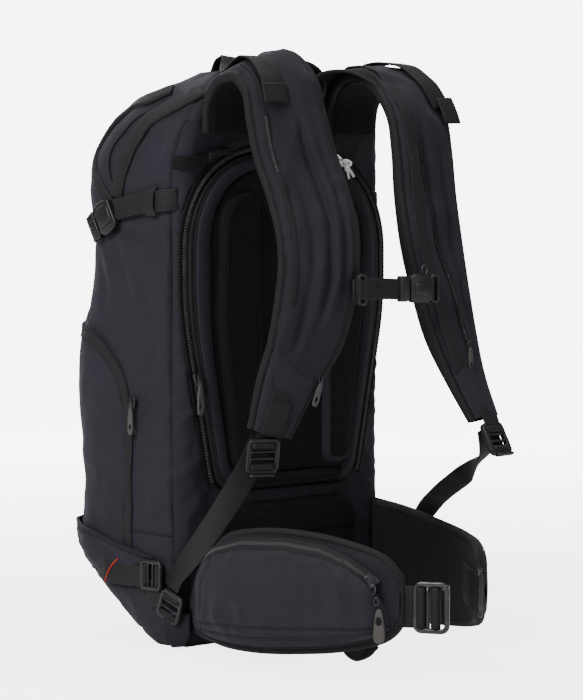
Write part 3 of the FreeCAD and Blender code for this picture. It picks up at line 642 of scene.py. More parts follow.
def side_w(y, z, side=-1):
    """Distance round the outline of the point of one side at depth y."""
    half, back, front, rear, nose, parts = ring_parts(np.asarray(z, float))
    y = np.asarray(y, float)
    turn = np.arccos(np.clip((y - front + nose) / nose, -1, 1))
    w = np.where(y > front - nose, parts[0] + nose * turn, parts[0] + parts[1] + (front - nose - y))
    behind = np.arcsin(np.clip((back + rear - y) / rear, 0, 1))
    w = np.where(y < back + rear, parts[0] + parts[1] + parts[2] + rear * behind, w)
    return side * w


def front_w(x, z):
    """Distance round the outline of the point of the front at sideways position x."""
    half, back, front, rear, nose, parts = ring_parts(np.asarray(z, float))
    x = np.asarray(x, float)
    turn = np.arcsin(np.clip((np.abs(x) - parts[0]) / nose, 0, 1))
    return np.sign(x) * np.where(np.abs(x) > parts[0], parts[0] + nose * turn, np.abs(x))


def seam_at(z):
    """Distance round the outline of the seam between side and back."""
    half, back, front, rear, nose, parts = ring_parts(np.asarray(z, float))
    return parts[0] + parts[1] + parts[2] + 0.4 * parts[3]


# creases of the right and left side: start (y, z), end (y, z), depth, width
CREASES = [
    (96, 408, 20, 392, 1.8, 3.0), (100, 398, 40, 352, 1.5, 4.0), (88, 386, 60, 330, 1.3, 4.0),
    (30, 404, 10, 372, 1.0, 3.0), (112, 388, 96, 330, 1.4, 3.5), (20, 300, 44, 262, 1.1, 4.0),
    (46, 350, 30, 312, 1.0, 4.0), (8, 250, 36, 226, 0.9, 4.0), (40, 128, 8, 112, 1.2, 4.0),
    (30, 168, 44, 140, 1.0, 4.0), (60, 478, 30, 452, 1.0, 5.0), (20, 500, 36, 470, 1.2, 4.0),
    (90, 44, 60, 30, 1.3, 4.0), (30, 36, 70, 24, 1.0, 4.0), (6, 180, 24, 168, 0.8, 3.0),
    (112, 94, 60, 76, 1.5, 4.0), (20, 92, 50, 74, 1.3, 3.5),
]


def crease_depth(y, z):
    """Depth of the creases of a side at depth y and height z."""
    total = np.zeros(np.shape(y))
    for y0, z0, y1, z1, depth, width in CREASES:
        dy, dz = y1 - y0, z1 - z0
        t = np.clip(((y - y0) * dy + (z - z0) * dz) / (dy * dy + dz * dz), 0, 1)
        off = (dz * (y - y0) - dy * (z - z0)) / math.hypot(dy, dz)
        bend = 3.0 * np.sin(t * math.pi)
        fade = np.sin(np.clip(t, 0.02, 0.98) * math.pi) ** 0.7
        inside = (t > 0) & (t < 1)
        across = (off - bend) / (width * CREASE_WIDTH)
        total += inside * fade * depth * (np.exp(-across ** 2) - 0.6 * np.exp(-(across - 1.9) ** 2))
    return total


def body_lift(w, z, points):
    """How far the fabric stands off the body's form: crowned panels, seams, creases and soft folds."""
    s = np.abs(w)
    seam = seam_at(z)
    corner = front_w(CORNER_X, z)
    t_side = np.clip((s - corner) / (seam - corner), 0, 1)
    t_front = np.clip(s / corner, 0, 1)
    ends = rise(z, 0, 30) * (1 - rise(z, 530, 562))
    crown = np.where(s > corner, 2.6 * np.sin(math.pi * t_side) ** 0.8, 3.0 * (1 - t_front ** 4)) * ends
    groove = 1.5 * np.exp(-((s - seam) / 1.8) ** 2) + 1.2 * np.exp(-((s - corner) / 2.2) ** 2)
    groove += 1.4 * np.exp(-((z - BASE_TOP) / 2.0) ** 2)
    puff = 0.7 * np.exp(-((np.abs(s - seam) - 5) / 3.0) ** 2)
    pucker = 0.55 * np.sin(z / 3.6 + 2 * noise(points, 30.0)) * np.exp(-np.abs(s - seam) / 9.0)
    soft = 2.0 * folds(points, (46, 46, 66)) * ends + 0.9 * noise(points, (17, 17, 26))
    side = (np.abs(points[..., 0]) > CORNER_X) & (s < seam)
    creases = CREASE_DEPTH * crease_depth(points[..., 1], z) * side * rise(z, 10, 30)
    pressed = 1 - STRAP_PRESS * side * np.exp(-((z - STRAP_AT) / STRAP_REACH) ** 2)
    crown = np.where(side, crown * (0.3 + 0.7 * pressed) - 0.9 * (1 - pressed), crown)
    return crown + puff + pucker + soft * 0.8 * pressed - groove - creases


def body_surface(w, z, lift=0.0, cloth_lift=True):
    """Points of the body's fabric, raised by lift."""
    points = wrap(w, z)
    height = body_lift(w, z, points) if cloth_lift else 0.0
    return points + wrap_out(w, z) * (height + lift)[..., None]


def body_panel(name, node, w_low, w_high, heights, columns):
    """One sewn panel of the body between two seams."""
    grid_w = np.array([np.linspace(w_low(z), w_high(z), columns) for z in heights])
    grid_z = np.repeat(heights[:, None], columns, axis=1)
    uvs = np.stack([grid_w, grid_z], axis=-1)
    obj = sheet_grid(name, body_surface(grid_w, grid_z), "ripstop", "pack", uvs, flip=True)
    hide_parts(node)


def heights_between(low, high, step=3.0):
    """Evenly spaced heights."""
    return np.linspace(low, high, int((high - low) / step) + 2)


def right_corner(z):
    """Distance round the outline of the right front corner."""
    return front_w(-CORNER_X, z)


def left_corner(z):
    """Distance round the outline of the left front corner."""
    return front_w(CORNER_X, z)


MID = heights_between(BASE_TOP, LID_BOTTOM)
body_panel("side_right", "side_panel_right", lambda z: -seam_at(z), right_corner, MID, 62)
body_panel("side_left", "side_panel_left", left_corner, seam_at, MID, 62)
body_panel("front", "front_panel", right_corner, left_corner, MID, 64)


def cap_panel(name, node, heights, closing, material):
    """Base or top panel: a band of the body that closes over to a flat middle."""
    columns = 240
    rows, uvs = [], []
    for z in heights:
        total = sum(ring_parts(z)[5])
        w = np.linspace(-total, total, columns, endpoint=False)
        rows.append(body_surface(w, np.full(columns, z)))
        uvs.append(np.column_stack([w, np.full(columns, z)]))
    last = rows[-1]
    middle = last.mean(axis=0)
    reach = np.max(np.abs(last[:, 0]))
    for share in np.linspace(0.93, 0.0, 15):
        ring = middle + (last - middle) * share
        ring[:, 0] = last[:, 0] * (share + (1 - share) * 0.55 * (1 - (np.abs(last[:, 0]) / reach) ** 2))
        ring[:, 2] = last[:, 2].mean() + closing * (1 - share ** 2.2) + 0.5 * noise(ring, 26.0)
        rows.append(ring)
        uvs.append(ring[:, :2].copy())
    grid = np.array(rows)
    faces = quads(len(rows), columns, ring=True, flip=heights[-1] > heights[0])
    obj = make_object(name, grid.reshape(-1, 3), faces, material, "pack", np.concatenate(uvs))
    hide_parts(node)


cap_panel("base", "base_panel", np.linspace(BASE_TOP, 0.6, 7), 0.3, "panel")
cap_panel("top", "top_panel", heights_between(LID_BOTTOM, PROFILE[-1, 0], 2.5), 3.0, "ripstop")


# ---- back wall and door --------------------------------------------------------------------------
DOOR_LOW, DOOR_TOP = 150.0, 482.0
DOOR_HALF, DOOR_FOOT, DOOR_WAIST = 133.0, 95.0, 330.0
DOOR_OUT = -8.0
DOOR_GAP = 1.2
DOOR_FLANGE = 16.0


def rounded_path(points, radii, step=2.0):
    """Closed path in the XZ plane with a round arc at each corner."""
    points = np.asarray(points, float)
    path = []
    for index, corner in enumerate(points):
        before = unit(points[index - 1] - corner)
        after = unit(points[(index + 1) % len(points)] - corner)
        half = math.acos(np.clip(np.dot(before, after), -1, 1)) / 2
        reach = radii[index] / math.tan(half)
        centre = corner + unit(before + after) * radii[index] / math.sin(half)
        start, end = corner + before * reach - centre, corner + after * reach - centre
        first = math.atan2(start[1], start[0])
        sweep_angle = (math.atan2(end[1], end[0]) - first + math.pi) % (2 * math.pi) - math.pi
        for share in np.linspace(0, 1, max(3, int(abs(sweep_angle) * radii[index] / step))):
            angle = first + sweep_angle * share
            path.append(centre + radii[index] * np.array([math.cos(angle), math.sin(angle)]))
    return np.array(path)


def evenly(path, count):
    """Closed path resampled to evenly spaced points."""
    loop = np.vstack([path, path[:1]])
    distance = lengths(loop)
    at = np.linspace(0, distance[-1], count, endpoint=False)
    return sample(loop, at, distance)


def door_path(grow, count=360):
    """Outline of the back door, grown all round, from the middle of its foot round by the left."""
    points = [(0.0, DOOR_LOW - grow - 0.01), (DOOR_FOOT + grow, DOOR_LOW - grow),
              (DOOR_HALF + grow, DOOR_WAIST),
              (DOOR_HALF + grow, DOOR_TOP + grow), (-DOOR_HALF - grow, DOOR_TOP + grow),
              (-DOOR_HALF - grow, DOOR_WAIST), (-DOOR_FOOT - grow, DOOR_LOW - grow)]
    radii = [0.01, 25 + grow, 300 + grow, 95 + grow, 95 + grow, 300 + grow, 25 + grow]
    return evenly(rounded_path(points, radii), count)


def foam_path(count=360):
    """Outline of the black foam on the door."""
    points = [(0, 164.99), (80, 165), (105, 300), (106, 466), (-106, 466), (-105, 300), (-80, 165)]
    return evenly(rounded_path(points, [0.01, 16, 300, 70, 70, 300, 16]), count)


def back_y(x, z):
    """Depth of the back of the body at x and z."""
    half, back, front, rear, nose, parts = ring_parts(z)
    over = np.clip(np.abs(x) - (half - rear), 0, rear)
    return back + rear - np.sqrt(np.maximum(rear ** 2 - over ** 2, 0))


def seam_x(z):
    """Half width of the seam between side and back."""
    return np.abs(wrap(seam_at(z), z)[..., 0])


def back_wall():
    """Sewn frame round the door, puckered where it meets the zip."""
    inner = door_path(DOOR_GAP + 0.4)
    centre = np.array([0.0, 300.0])
    outer = []
    for x, z in inner:
        direction = unit(np.array([x, z]) - centre)
        reach = 400.0
        for _ in range(24):
            pz_safe = float(np.clip(centre[1] + direction[1] * reach, BASE_TOP, LID_BOTTOM))
            limit = min(float(seam_x(pz_safe)) / max(abs(direction[0]), 1e-6),
                        (LID_BOTTOM - centre[1]) / max(direction[1], 1e-6) if direction[1] > 0 else 1e9,
                        (BASE_TOP - centre[1]) / min(direction[1], -1e-6) if direction[1] < 0 else 1e9)
            reach = limit
        outer.append(centre + direction * reach)
    outer = np.array(outer)
    steps = np.linspace(0, 1, 26)
    flat = inner[None] + (outer - inner)[None] * steps[:, None, None]
    x, z = flat[..., 0], flat[..., 1]
    y = back_y(x, np.clip(z, BASE_TOP, LID_BOTTOM))
    distance = np.linalg.norm(flat - inner[None], axis=-1)
    room = np.linalg.norm(outer - inner, axis=-1)[None]
    along = np.arange(len(inner))[None] * 3.4
    points = np.stack([x, y, z], axis=-1)
    crown = 3.2 * np.sin(math.pi * steps)[:, None] ** 0.7 * rise(room, 4, 24)
    ripple = np.sin(along / 3.3 + 3.0 * noise(points, 38.0)) + 0.6 * np.sin(along / 1.9 + 1.3)
    pucker = 0.55 * ripple * np.exp(-distance / 9.0) + 0.5 * ripple * np.exp(-(room - distance) / 8.0)
    slant = 2.6 * np.maximum(0, np.sin((z + 0.9 * np.abs(x)) / 7.5 + 2.2 * noise(points, 30.0))) ** 2
    boxing = rise(np.abs(x), 100, 116) * (1 - rise(z, 380, 440)) * rise(room, 6, 16)
    height = crown + pucker + slant * boxing * np.sin(math.pi * steps)[:, None]
    height = height + 1.4 * folds(points, (34, 34, 46)) * rise(room, 4, 20)
    height -= 1.2 * np.exp(-((room - distance) / 2.0) ** 2)
    height = height * rise(distance, 6, 16) + 3.4 * (1 - rise(distance, 7, 19)) + pucker * 1.2
    points[..., 1] -= height * np.clip(1 - steps[:, None] ** 6, 0.25, 1)
    points = np.concatenate([points[:1] + np.array([0.0, DOOR_FLANGE, 0.0]), points])
    obj = sheet_grid("back_wall_cloth", points, "panel", "pack", points[..., [0, 2]], ring=True)
    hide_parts("back_wall")


back_wall()


def teeth(name, points, across, pitch, width, height, material, body):
    """Two interlocking rows of zip coil along a line. Across is the direction over the tape."""
    points = np.asarray(points, float)
    distance = lengths(points)
    across = unit(across)
    parts = []
    for row in (-1, 1):
        at = np.arange(pitch if row > 0 else pitch / 2, distance[-1] - pitch / 2, pitch)
        place = sample(points, at, distance)
        side = unit(sample(across, at, distance))
        along = unit(np.gradient(place, axis=0))
        out = np.cross(along, side)
        for centre, a, s, o in zip(place, along, side, out):
            ring = []
            for step in range(6):
                angle = math.radians(60 * step + 30)
                ring.append(a * math.cos(angle) * pitch * 0.30 + o * (math.sin(angle) * height / 2))
            low_end = centre + s * (row * width * 0.10 - row * width * 0.16)
            high_end = centre + s * (row * width * 0.5)
            verts = [low_end + point for point in ring] + [high_end + point for point in ring]
            faces = [(i, (i + 1) % 6, (i + 1) % 6 + 6, i + 6) for i in range(6)]
            faces += [tuple(range(5, -1, -1)), tuple(range(6, 12))]
            parts.append((verts, faces))
    verts, faces = merged(parts)
    return make_object(name, verts, faces, material, body)


def flat_ring(path, y):
    """Path of the XZ plane as points at depth y."""
    path = np.asarray(path, float)
    depth = y if np.ndim(y) else np.full(len(path), float(y))
    return np.column_stack([path[:, 0], depth, path[:, 1]])


def door_zip():
    """Two-row coil zip and its tapes round the door, from the left foot over the top to the right foot."""
    centre = door_path(DOOR_GAP + 3.4, 720)
    keep = centre[:, 1] > DOOR_LOW + 8
    start = int(np.argmax(keep))
    centre = centre[start:start + int(keep.sum())]
    y = back_y(centre[:, 0], centre[:, 1])
    line = flat_ring(centre, np.minimum(y, -1.5) - 5.2)
    normal = unit(np.gradient(centre, axis=0))
    outward = np.column_stack([normal[:, 1], np.zeros(len(normal)), -normal[:, 0]])
    coil = teeth("back_zip_coil", line, outward, 2.7, 4.2, 2.0, "coil", "pack")
    tape = band("back_zip_tape", line + np.array([0, 1.5, 0]) + outward * 2.2, outward, 9.5, 1.0,
                "zip_base", "pack", count=260)
    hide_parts("back_zip")
    thread = stitches("back_zip_stitches", line + outward * 6.0 + np.array([0, 0.7, 0]), 4.2, 0.7,
                      "dark_thread", "pack")


def stitches(name, points, pitch, radius, material, body):
    """Row of short sewn stitches along a line."""
    points = np.asarray(points, float)
    distance = lengths(points)
    parts = []
    for start in np.arange(0.3 * pitch, distance[-1] - pitch, pitch):
        at = np.linspace(start, start + pitch * 0.66, 3)
        place = sample(points, at, distance)
        along = unit(place[-1] - place[0])
        side = np.cross(along, [0.21, 0.55, 0.81])
        side = unit(side)
        other = np.cross(along, side)
        verts = []
        for index, centre in enumerate(place):
            size = radius * (1.0 if index == 1 else 0.45)
            verts += [centre + (side * math.cos(a) + other * math.sin(a)) * size
                      for a in np.linspace(0, 2 * math.pi, 5, endpoint=False)]
        faces = [(r * 5 + c, r * 5 + (c + 1) % 5, (r + 1) * 5 + (c + 1) % 5, (r + 1) * 5 + c)
                 for r in range(2) for c in range(5)]
        faces += [(4, 3, 2, 1, 0), (10, 11, 12, 13, 14)]
        parts.append((verts, faces))
    verts, faces = merged(parts)
    return make_object(name, verts, faces, material, body)


door_zip()


def darken_low(piece, top, half_width):
    """Black mesh on the faces of a back piece below a height, within a half width."""
    piece.data.materials.append(MATERIALS["mesh"])
    for face in piece.data.polygons:
        centre = face.center * 1000.0
        if centre.z < top and abs(centre.x) < half_width:
            face.material_index = len(piece.data.materials) - 1


def door_surface():
    """Border of the door, its black foam, the channel down the middle and the piping round the edge."""
    outline = door_path(0.0)
    foam = foam_path()
    # the border runs from the door's edge to the foam, the same number of points on both
    steps = np.array([0, 0.03, 0.1, 0.2, 0.24, 0.27, 0.31, 0.37, 0.45, 0.55, 0.65, 0.75, 0.84, 0.91, 0.96,
                      1.0])
    flat = outline[None] + (foam - outline)[None] * steps[:, None, None]
    height = np.select([steps < 0.02, steps < 0.22, steps < 0.29], [-18.0, 0.4, -1.6],
                       1.6 + 3.4 * np.sin(math.pi * np.clip((steps - 0.27) / 0.73, 0, 1)) ** 0.6)
    height[-1] = 1.4
    height = np.repeat(height[:, None], len(outline), axis=1)
    points = np.stack([flat[..., 0], DOOR_OUT - height, flat[..., 1]], axis=-1)
    points[..., 1] -= 0.5 * noise(points, (18, 30, 26)) * (steps > 0.3)[:, None]
    border = sheet_grid("door_border", points[3:], "panel", "back_door", flat[3:], ring=True)
    tape = sheet_grid("door_tape", points[:4], "tape", "back_door", flat[:4], ring=True)
    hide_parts("back_door")
    for piece in (border, tape):
        darken_low(piece, foam[:, 1].min() + 3, 74)
    edge = flat_ring(outline + (foam - outline) * 0.26, DOOR_OUT - 0.4)
    cord_line = np.vstack([edge, edge[:1]])
    piping = tube("door_piping", cord_line, 1.1, "binding", "back_door", count=300)

    spine_z = np.clip(foam[:, 1], 215, 400)
    spine = np.column_stack([np.zeros(len(foam)), spine_z * 0.96 + 300 * 0.04])
    shares = np.concatenate([[0, 0.012, 0.03, 0.055, 0.085], np.linspace(0.12, 1.0, 34)])
    flat = foam[None] + (spine - foam)[None] * shares[:, None, None]
    x, z = flat[..., 0], flat[..., 1]
    edge_fall = 3.2 * (1 - np.exp(-shares / 0.035))[:, None]
    channel = (1 - rise(np.abs(x), 34, 46)) * (1 - rise(z, 318, 352)) * 4.5
    arch = 1.2 * np.cos(np.clip(x / 110, -1, 1) * math.pi / 2)
    height = 1.2 + edge_fall + arch - channel
    height = height + 0.35 * noise(np.stack([x, 0 * x, z], axis=-1), 40.0)
    points = np.stack([x, DOOR_OUT - height, z], axis=-1)
    panel = sheet_grid("door_foam", points, "foam", "back_door", flat, ring=True)


door_surface()


def wall_details():
    """Piping over the top of the wall, a short black band and a grey bar above the right of the zip."""
    x = np.linspace(-124, 124, 60)
    rim = tube("back_wall_piping", np.column_stack([x, back_y(x, LID_BOTTOM) - 1.0, np.full(60, LID_BOTTOM)]),
               1.7, "binding", "pack", count=120)
    dark = band("back_wall_band", [(-141, 6, 471), (-138, -3, 471), (-126, -7.5, 472), (-110, -8.5, 474)],
                (0, 0, 1), 12, 2.0, "mesh", "pack", count=24)
    bar = band("back_wall_bar", [(-107, -9.5, 478), (-94, -10.2, 481.5), (-80, -10.2, 484)], (0, 0, 1), 6.0,
               2.0, "tape", "pack", count=16)


wall_details()


def crowned_pad(name, outline, base, rise_height, slope, top_material, side_material, body, node,
                channels=()):
    """Pad with a foam top and sewn fabric sides that slope down to its base."""
    centre = outline.mean(axis=0)
    rows, tops = [], []
    count = len(outline)
    inward = unit(centre - outline)
    tangent = unit(np.roll(outline, -1, axis=0) - np.roll(outline, 1, axis=0))
    normal = np.column_stack([-tangent[:, 1], tangent[:, 0]])
    normal *= np.sign(np.sum(normal * inward, axis=1, keepdims=True))
    for share in np.linspace(0, 1, 7):
        flat = outline + normal * slope * share
        height = rise_height * (1 - (1 - share) ** 2.2)
        rows.append(flat_ring(flat, base - height))
    skirt = np.array(rows)
    sides = sheet_grid(name + "_sides", skirt, side_material, body, skirt[..., [0, 2]], ring=True)
    rim = skirt[-1][:, [0, 2]]
    mid = np.column_stack([np.full(count, centre[0]), centre[1] + (rim[:, 1] - centre[1]) * 0.72])
    for share in np.concatenate([[0, 0.03, 0.08], np.linspace(0.15, 1, 12)]):
        flat = rim + (mid - rim) * share
        lift = rise_height + 2.2 * (1 - (1 - share) ** 3)
        ring = flat_ring(flat, base - lift)
        for channel_z in channels:
            ring[:, 1] += 2.0 * np.exp(-((ring[:, 2] - channel_z) / 3.0) ** 2)
        ring[:, 1] -= 0.4 * noise(ring, 25.0)
        tops.append(ring)
    grid = np.array(tops)
    top = sheet_grid(name, grid, top_material, body, grid[..., [0, 2]], ring=True)
    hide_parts(node)
    seam_line = np.vstack([skirt[-1], skirt[-1][:1]])
    seam = tube(name + "_seam", seam_line, 0.7, "mesh", body, count=160)


for side_name, sign in (("right", -1), ("left", 1)):
    pad_outline = rounded_path([(sign * 44, 170), (sign * 80, 170), (sign * 101, 320), (sign * 96, 440),
                                (sign * 44, 446)], [12, 12, 120, 34, 14])
    if sign < 0:
        pad_outline = pad_outline[::-1]
    # The right pad's sides take the black foam where the left pad's take navy fabric: painted shade on the
    # right pad's sides.
    crowned_pad("back_pad_" + side_name, evenly(pad_outline, 200), DOOR_OUT - 3.5, 8.5, 7.0, "foam",
                "foam" if sign < 0 else "panel", "back_door", "back_pads")

lumbar_outline = rounded_path([(-104, 26), (104, 26), (98, 137), (-98, 137)], [22, 22, 26, 26])
crowned_pad("lumbar_foam", evenly(lumbar_outline, 260), -4.4, 9.0, 8.0, "foam", "foam",
            "pack", "lumbar_pad", channels=(66, 102))


# ---- pockets, flaps and tapes on the outside -------------------------------------------------------
def surface_tape(name, rows, width, lift, thick, material, count=160, wave=0.0, body="pack",
                 taut=False):
    """Tape on the body along rows of (distance round, height), raised by lift. Taut tape skips folds."""
    rows = np.asarray(rows, float)
    place = smooth_rows(np.column_stack([rows, np.zeros(len(rows))]), count)
    lifts = np.interp(np.linspace(0, 1, count), np.linspace(0, 1, np.size(lift)), np.atleast_1d(lift))
    points = body_surface(place[:, 0], place[:, 1], lifts, cloth_lift=not taut)
    out = wrap_out(place[:, 0], place[:, 1])
    along = unit(np.gradient(points, axis=0))
    across = unit(np.cross(out, along))
    tape = band(name, points, across, width, thick, material, body, count=count, wave=wave)
    return tape, points, across, out


def side_rows(route, side=-1):
    """Route of (y, z) on one side as rows of (distance round, height)."""
    return [(float(side_w(y, z, side)), z) for y, z in route]


def cover(name, node, heights, edges, lift):
    """Fabric that stands off the body, from one side round the front to the other."""
    share = np.linspace(-1, 1, 190)
    edge = np.array([abs(float(side_w(np.interp(z, edges[0], edges[1]), z))) for z in heights])
    w = share[None] * edge[:, None]
    z = np.repeat(np.asarray(heights, float)[:, None], len(share), axis=1)
    inside = edge[:, None] - np.abs(w)
    points = body_surface(w, z, lift(inside, z))
    points += wrap_out(w, z) * (0.7 * folds(points, (30, 30, 40), 4.0) * rise(inside, 4, 24))[..., None]
    piece = sheet_grid(name, points, "ripstop", "pack", uvs=np.stack([w, z], axis=-1), flip=True)
    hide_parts(node)


cover("front_pocket_cloth", "front_pocket", np.linspace(94, 404, 110),
      ([92, 123, 162, 201, 230, 260, 286, 304, 315, 330, 404],
       [56, 58.5, 58.5, 58, 59, 66, 83, 105, 128, 138, 132]),
      lambda inside, z: (0.6 + 4.5 * rise(inside, 0, 36)) * (1 - 0.85 * rise(z, 394, 404)))
cover("top_pocket_cloth", "top_pocket", np.linspace(406, 546, 60),
      ([406, 420, 432, 447, 462, 480, 496, 512, 526, 535, 546],
       [112, 100, 92, 104, 120, 124, 115, 99, 81, 56, 30]),
      lambda inside, z: (0.6 + 3.2 * rise(inside, 0, 20)) * (1 - 0.8 * rise(z, 522, 546)) * rise(z, 400, 414))

FLAP_SIDE = [(62, 90), (65, 123), (65, 162), (64.5, 201), (65, 229), (73, 256), (91, 280), (113, 298)]
FLAP_FRONT = [(-112, 309), (-80, 317), (0, 320), (80, 317), (112, 309)]
flap_rows = side_rows(FLAP_SIDE) + [(float(front_w(x, z)), z) for x, z in FLAP_FRONT] + side_rows(FLAP_SIDE,
                                                                                                  1)[::-1]
FLAP_LIFTS = [1.6, 1.0, 0.8, 1.0, 2.0, 4.4, 6.0, 6.4, 6.4, 6.4, 6.4, 6.0, 4.4, 2.0, 1.0, 0.8, 1.0, 1.6]
flap, flap_line, flap_across, flap_out = surface_tape("front_pocket_flap", flap_rows, 13.5, FLAP_LIFTS, 1.6,
                                                      "tape", count=420, wave=0.5)
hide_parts("side_zips")
for flap_side, label in ((-1, "low"), (1, "high")):
    thread_line = flap_line + flap_across * flap_side * 5.2 + flap_out * 0.9
    flap_thread = stitches("front_flap_stitches_" + label, thread_line, 3.6, 0.5, "dark_thread", "pack")

TAPE_OUTER = [(84, 427), (92, 433), (106, 448), (119, 463), (123, 480), (115, 496), (99, 512), (81, 526),
              (50, 534), (30, 541)]
TAPE_INNER = [(81, 439), (76, 456), (67, 477), (54, 498), (39, 514), (17, 525), (0, 534), (-9, 541)]
WELT = [(78, 440), (90, 458), (92, 478), (80, 498), (62, 513), (36, 526)]
SIDE_SEAM = [(142, 125), (108, 118), (82, 114), (41, 111), (7, 110)]
for side in (-1, 1):
    label = "right" if side < 0 else "left"
    surface_tape("top_zip_tape_" + label, side_rows(TAPE_OUTER, side), 14.0, [0.4, 0.6, 0.9, 1.0], 5.5,
                 "tape", wave=0.8)
    _, line, across, out = surface_tape("main_zip_tape_" + label, side_rows(TAPE_INNER, side), 17.0, 0.9, 5.0,
                                        "tape", wave=0.9)
    inner_thread = stitches("main_zip_stitches_" + label, line - across * 5.0 + out * 2.4, 3.6, 0.5,
                            "dark_thread", "pack")
    surface_tape("top_welt_" + label, side_rows(WELT, side), 2.2, 1.4, 1.8, "binding", count=70)
    surface_tape("side_seam_" + label, side_rows(SIDE_SEAM, side), 1.6, 0.6, 1.4, "binding",
                 count=80)


def lower_flap():
    """Sling pocket at the foot: its lip rises from the sides to the front."""
    reach = abs(float(side_w(26, 80)))
    w = np.linspace(-reach, reach, 220)
    y = wrap(w, np.full(len(w), 95.0))[:, 1]
    low = np.interp(y, [10, 34, 71, 101, 129, 160], [43, 45, 52, 62, 70, 74])
    high = np.interp(y, [26, 56, 83, 106, 144, 160], [84, 93, 100, 107, 115, 114])
    share = np.linspace(0, 1, 36)[:, None]
    z = low + (high - low) * share
    grid_w = np.repeat(w[None], len(share), axis=0)
    ends = reach - np.abs(grid_w)
    belly = np.sin(math.pi * np.clip(share * 0.62, 0, 1))
    lift = 0.8 + (1.0 + 7.6 * rise(y, 30, 104))[None] * belly * rise(ends, 0, 22)
    points = body_surface(grid_w, z, lift)
    sag = 1.3 * folds(points, (34, 34, 14), 6.0) * rise(ends, 4, 30) * np.sin(math.pi * share)
    points += wrap_out(grid_w, z) * sag[..., None]
    piece = sheet_grid("lower_flap_cloth", points, "ripstop", "pack", np.stack([grid_w, z], axis=-1),
                       flip=True)
    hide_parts("lower_flap")
    for label, row, radius in (("lip", -1, 2.0), ("foot", 0, 1.2)):
        hem = tube("lower_flap_" + label, points[row], radius, "binding", "pack", sides=8, count=260)
    hem_thread = stitches("lower_flap_stitches", points[-4] + wrap_out(w, z[-4]) * 0.4, 3.8, 0.5,
                          "dark_thread", "pack")


lower_flap()


# ---- shoulder straps --------------------------------------------------------------------------------
# x, y, z, width, thickness, turn of the width about Z in degrees, rise of the inner edge
STRAP_RIGHT = [
    (-84, -14, 502, 66, 11, 0, 0.05), (-86, -19, 534, 67, 12, -2, 0.2), (-87, -36, 557, 69, 13, -5, 0.34),
    (-85, -60, 563, 73, 14, -9, 0.34), (-82, -80, 545, 76, 14, -16, 0.22), (-80, -88, 513, 77, 14, -22, 0.1),
    (-77, -97, 477, 77, 14, -27, 0.03), (-76, -113, 441, 76, 14, -30, 0), (-75, -125, 403, 76, 14, -30, 0),
    (-75, -127, 375, 75, 14, -30, 0), (-76, -122, 338, 73, 14, -30, 0), (-80, -113, 300, 68, 14, -30, 0),
    (-85, -94, 262, 56, 14, -28, 0), (-92, -77, 212, 42, 11, -25, 0),
]
STRAP_LEFT = [
    (84, -14, 505, 66, 11, 0, 0), (84, -19, 536, 68, 12, 0, 0), (83, -38, 557, 72, 13, 0, 0),
    (81, -68, 559, 76, 14, 0, 0), (80, -94, 542, 78, 14, 0, 0), (80, -111, 516, 78, 14, 0, 0),
    (80, -117, 486, 78, 15, 0, 0), (80, -122, 440, 78, 18, 0, 0), (80, -131, 390, 76, 21, 0, 0),
    (82, -141, 345, 70, 21, 0, 0), (84, -152, 304, 62, 21, 0, 0), (88, -170, 258, 48, 14, 0, 0),
    (92, -188, 222, 38, 11, 0, 0),
]
STRAP_STEPS = 170
BINDING = 8.0


def turned(degrees):
    """Horizontal unit vectors, turned about Z from +X."""
    angle = np.radians(degrees)
    return np.stack([np.cos(angle), np.sin(angle), np.zeros(np.shape(angle))], axis=-1)


class Strap:
    """Centre line, axes and size of a shoulder strap at evenly spaced steps."""

    def __init__(self, rows):
        smooth = smooth_rows(rows, STRAP_STEPS)
        self.points = smooth[:, :3]
        self.width = smooth[:, 3]
        self.thick = smooth[:, 4]
        lean = np.column_stack([np.zeros((STRAP_STEPS, 2)), smooth[:, 6]])
        self.along, self.across, inward = axes_along(self.points, turned(smooth[:, 5]) + lean)
        self.out = inward if inward[len(inward) // 2][1] < 0 else -inward
        self.distance = lengths(self.points)

    def at(self, index, u, lift):
        """Point at a share u of the half width and a height over the centre line."""
        side = self.across[index] * (np.asarray(u) * self.width[index] / 2)[..., None]
        return self.points[index] + side + self.out[index] * np.asarray(lift)[..., None]

    def line(self, u, lift, start, stop):
        """Line along the sewn outer face, raised by lift. u may change along it."""
        index = np.arange(start, stop)
        shares = np.interp(np.linspace(0, 1, len(index)), np.linspace(0, 1, np.size(u)), np.atleast_1d(u))
        place = [[np.interp(share, self.shell_u, self.shell[step][:, axis]) for axis in range(3)]
                 for share, step in zip(shares, index)]
        return np.array(place) + self.out[index] * lift


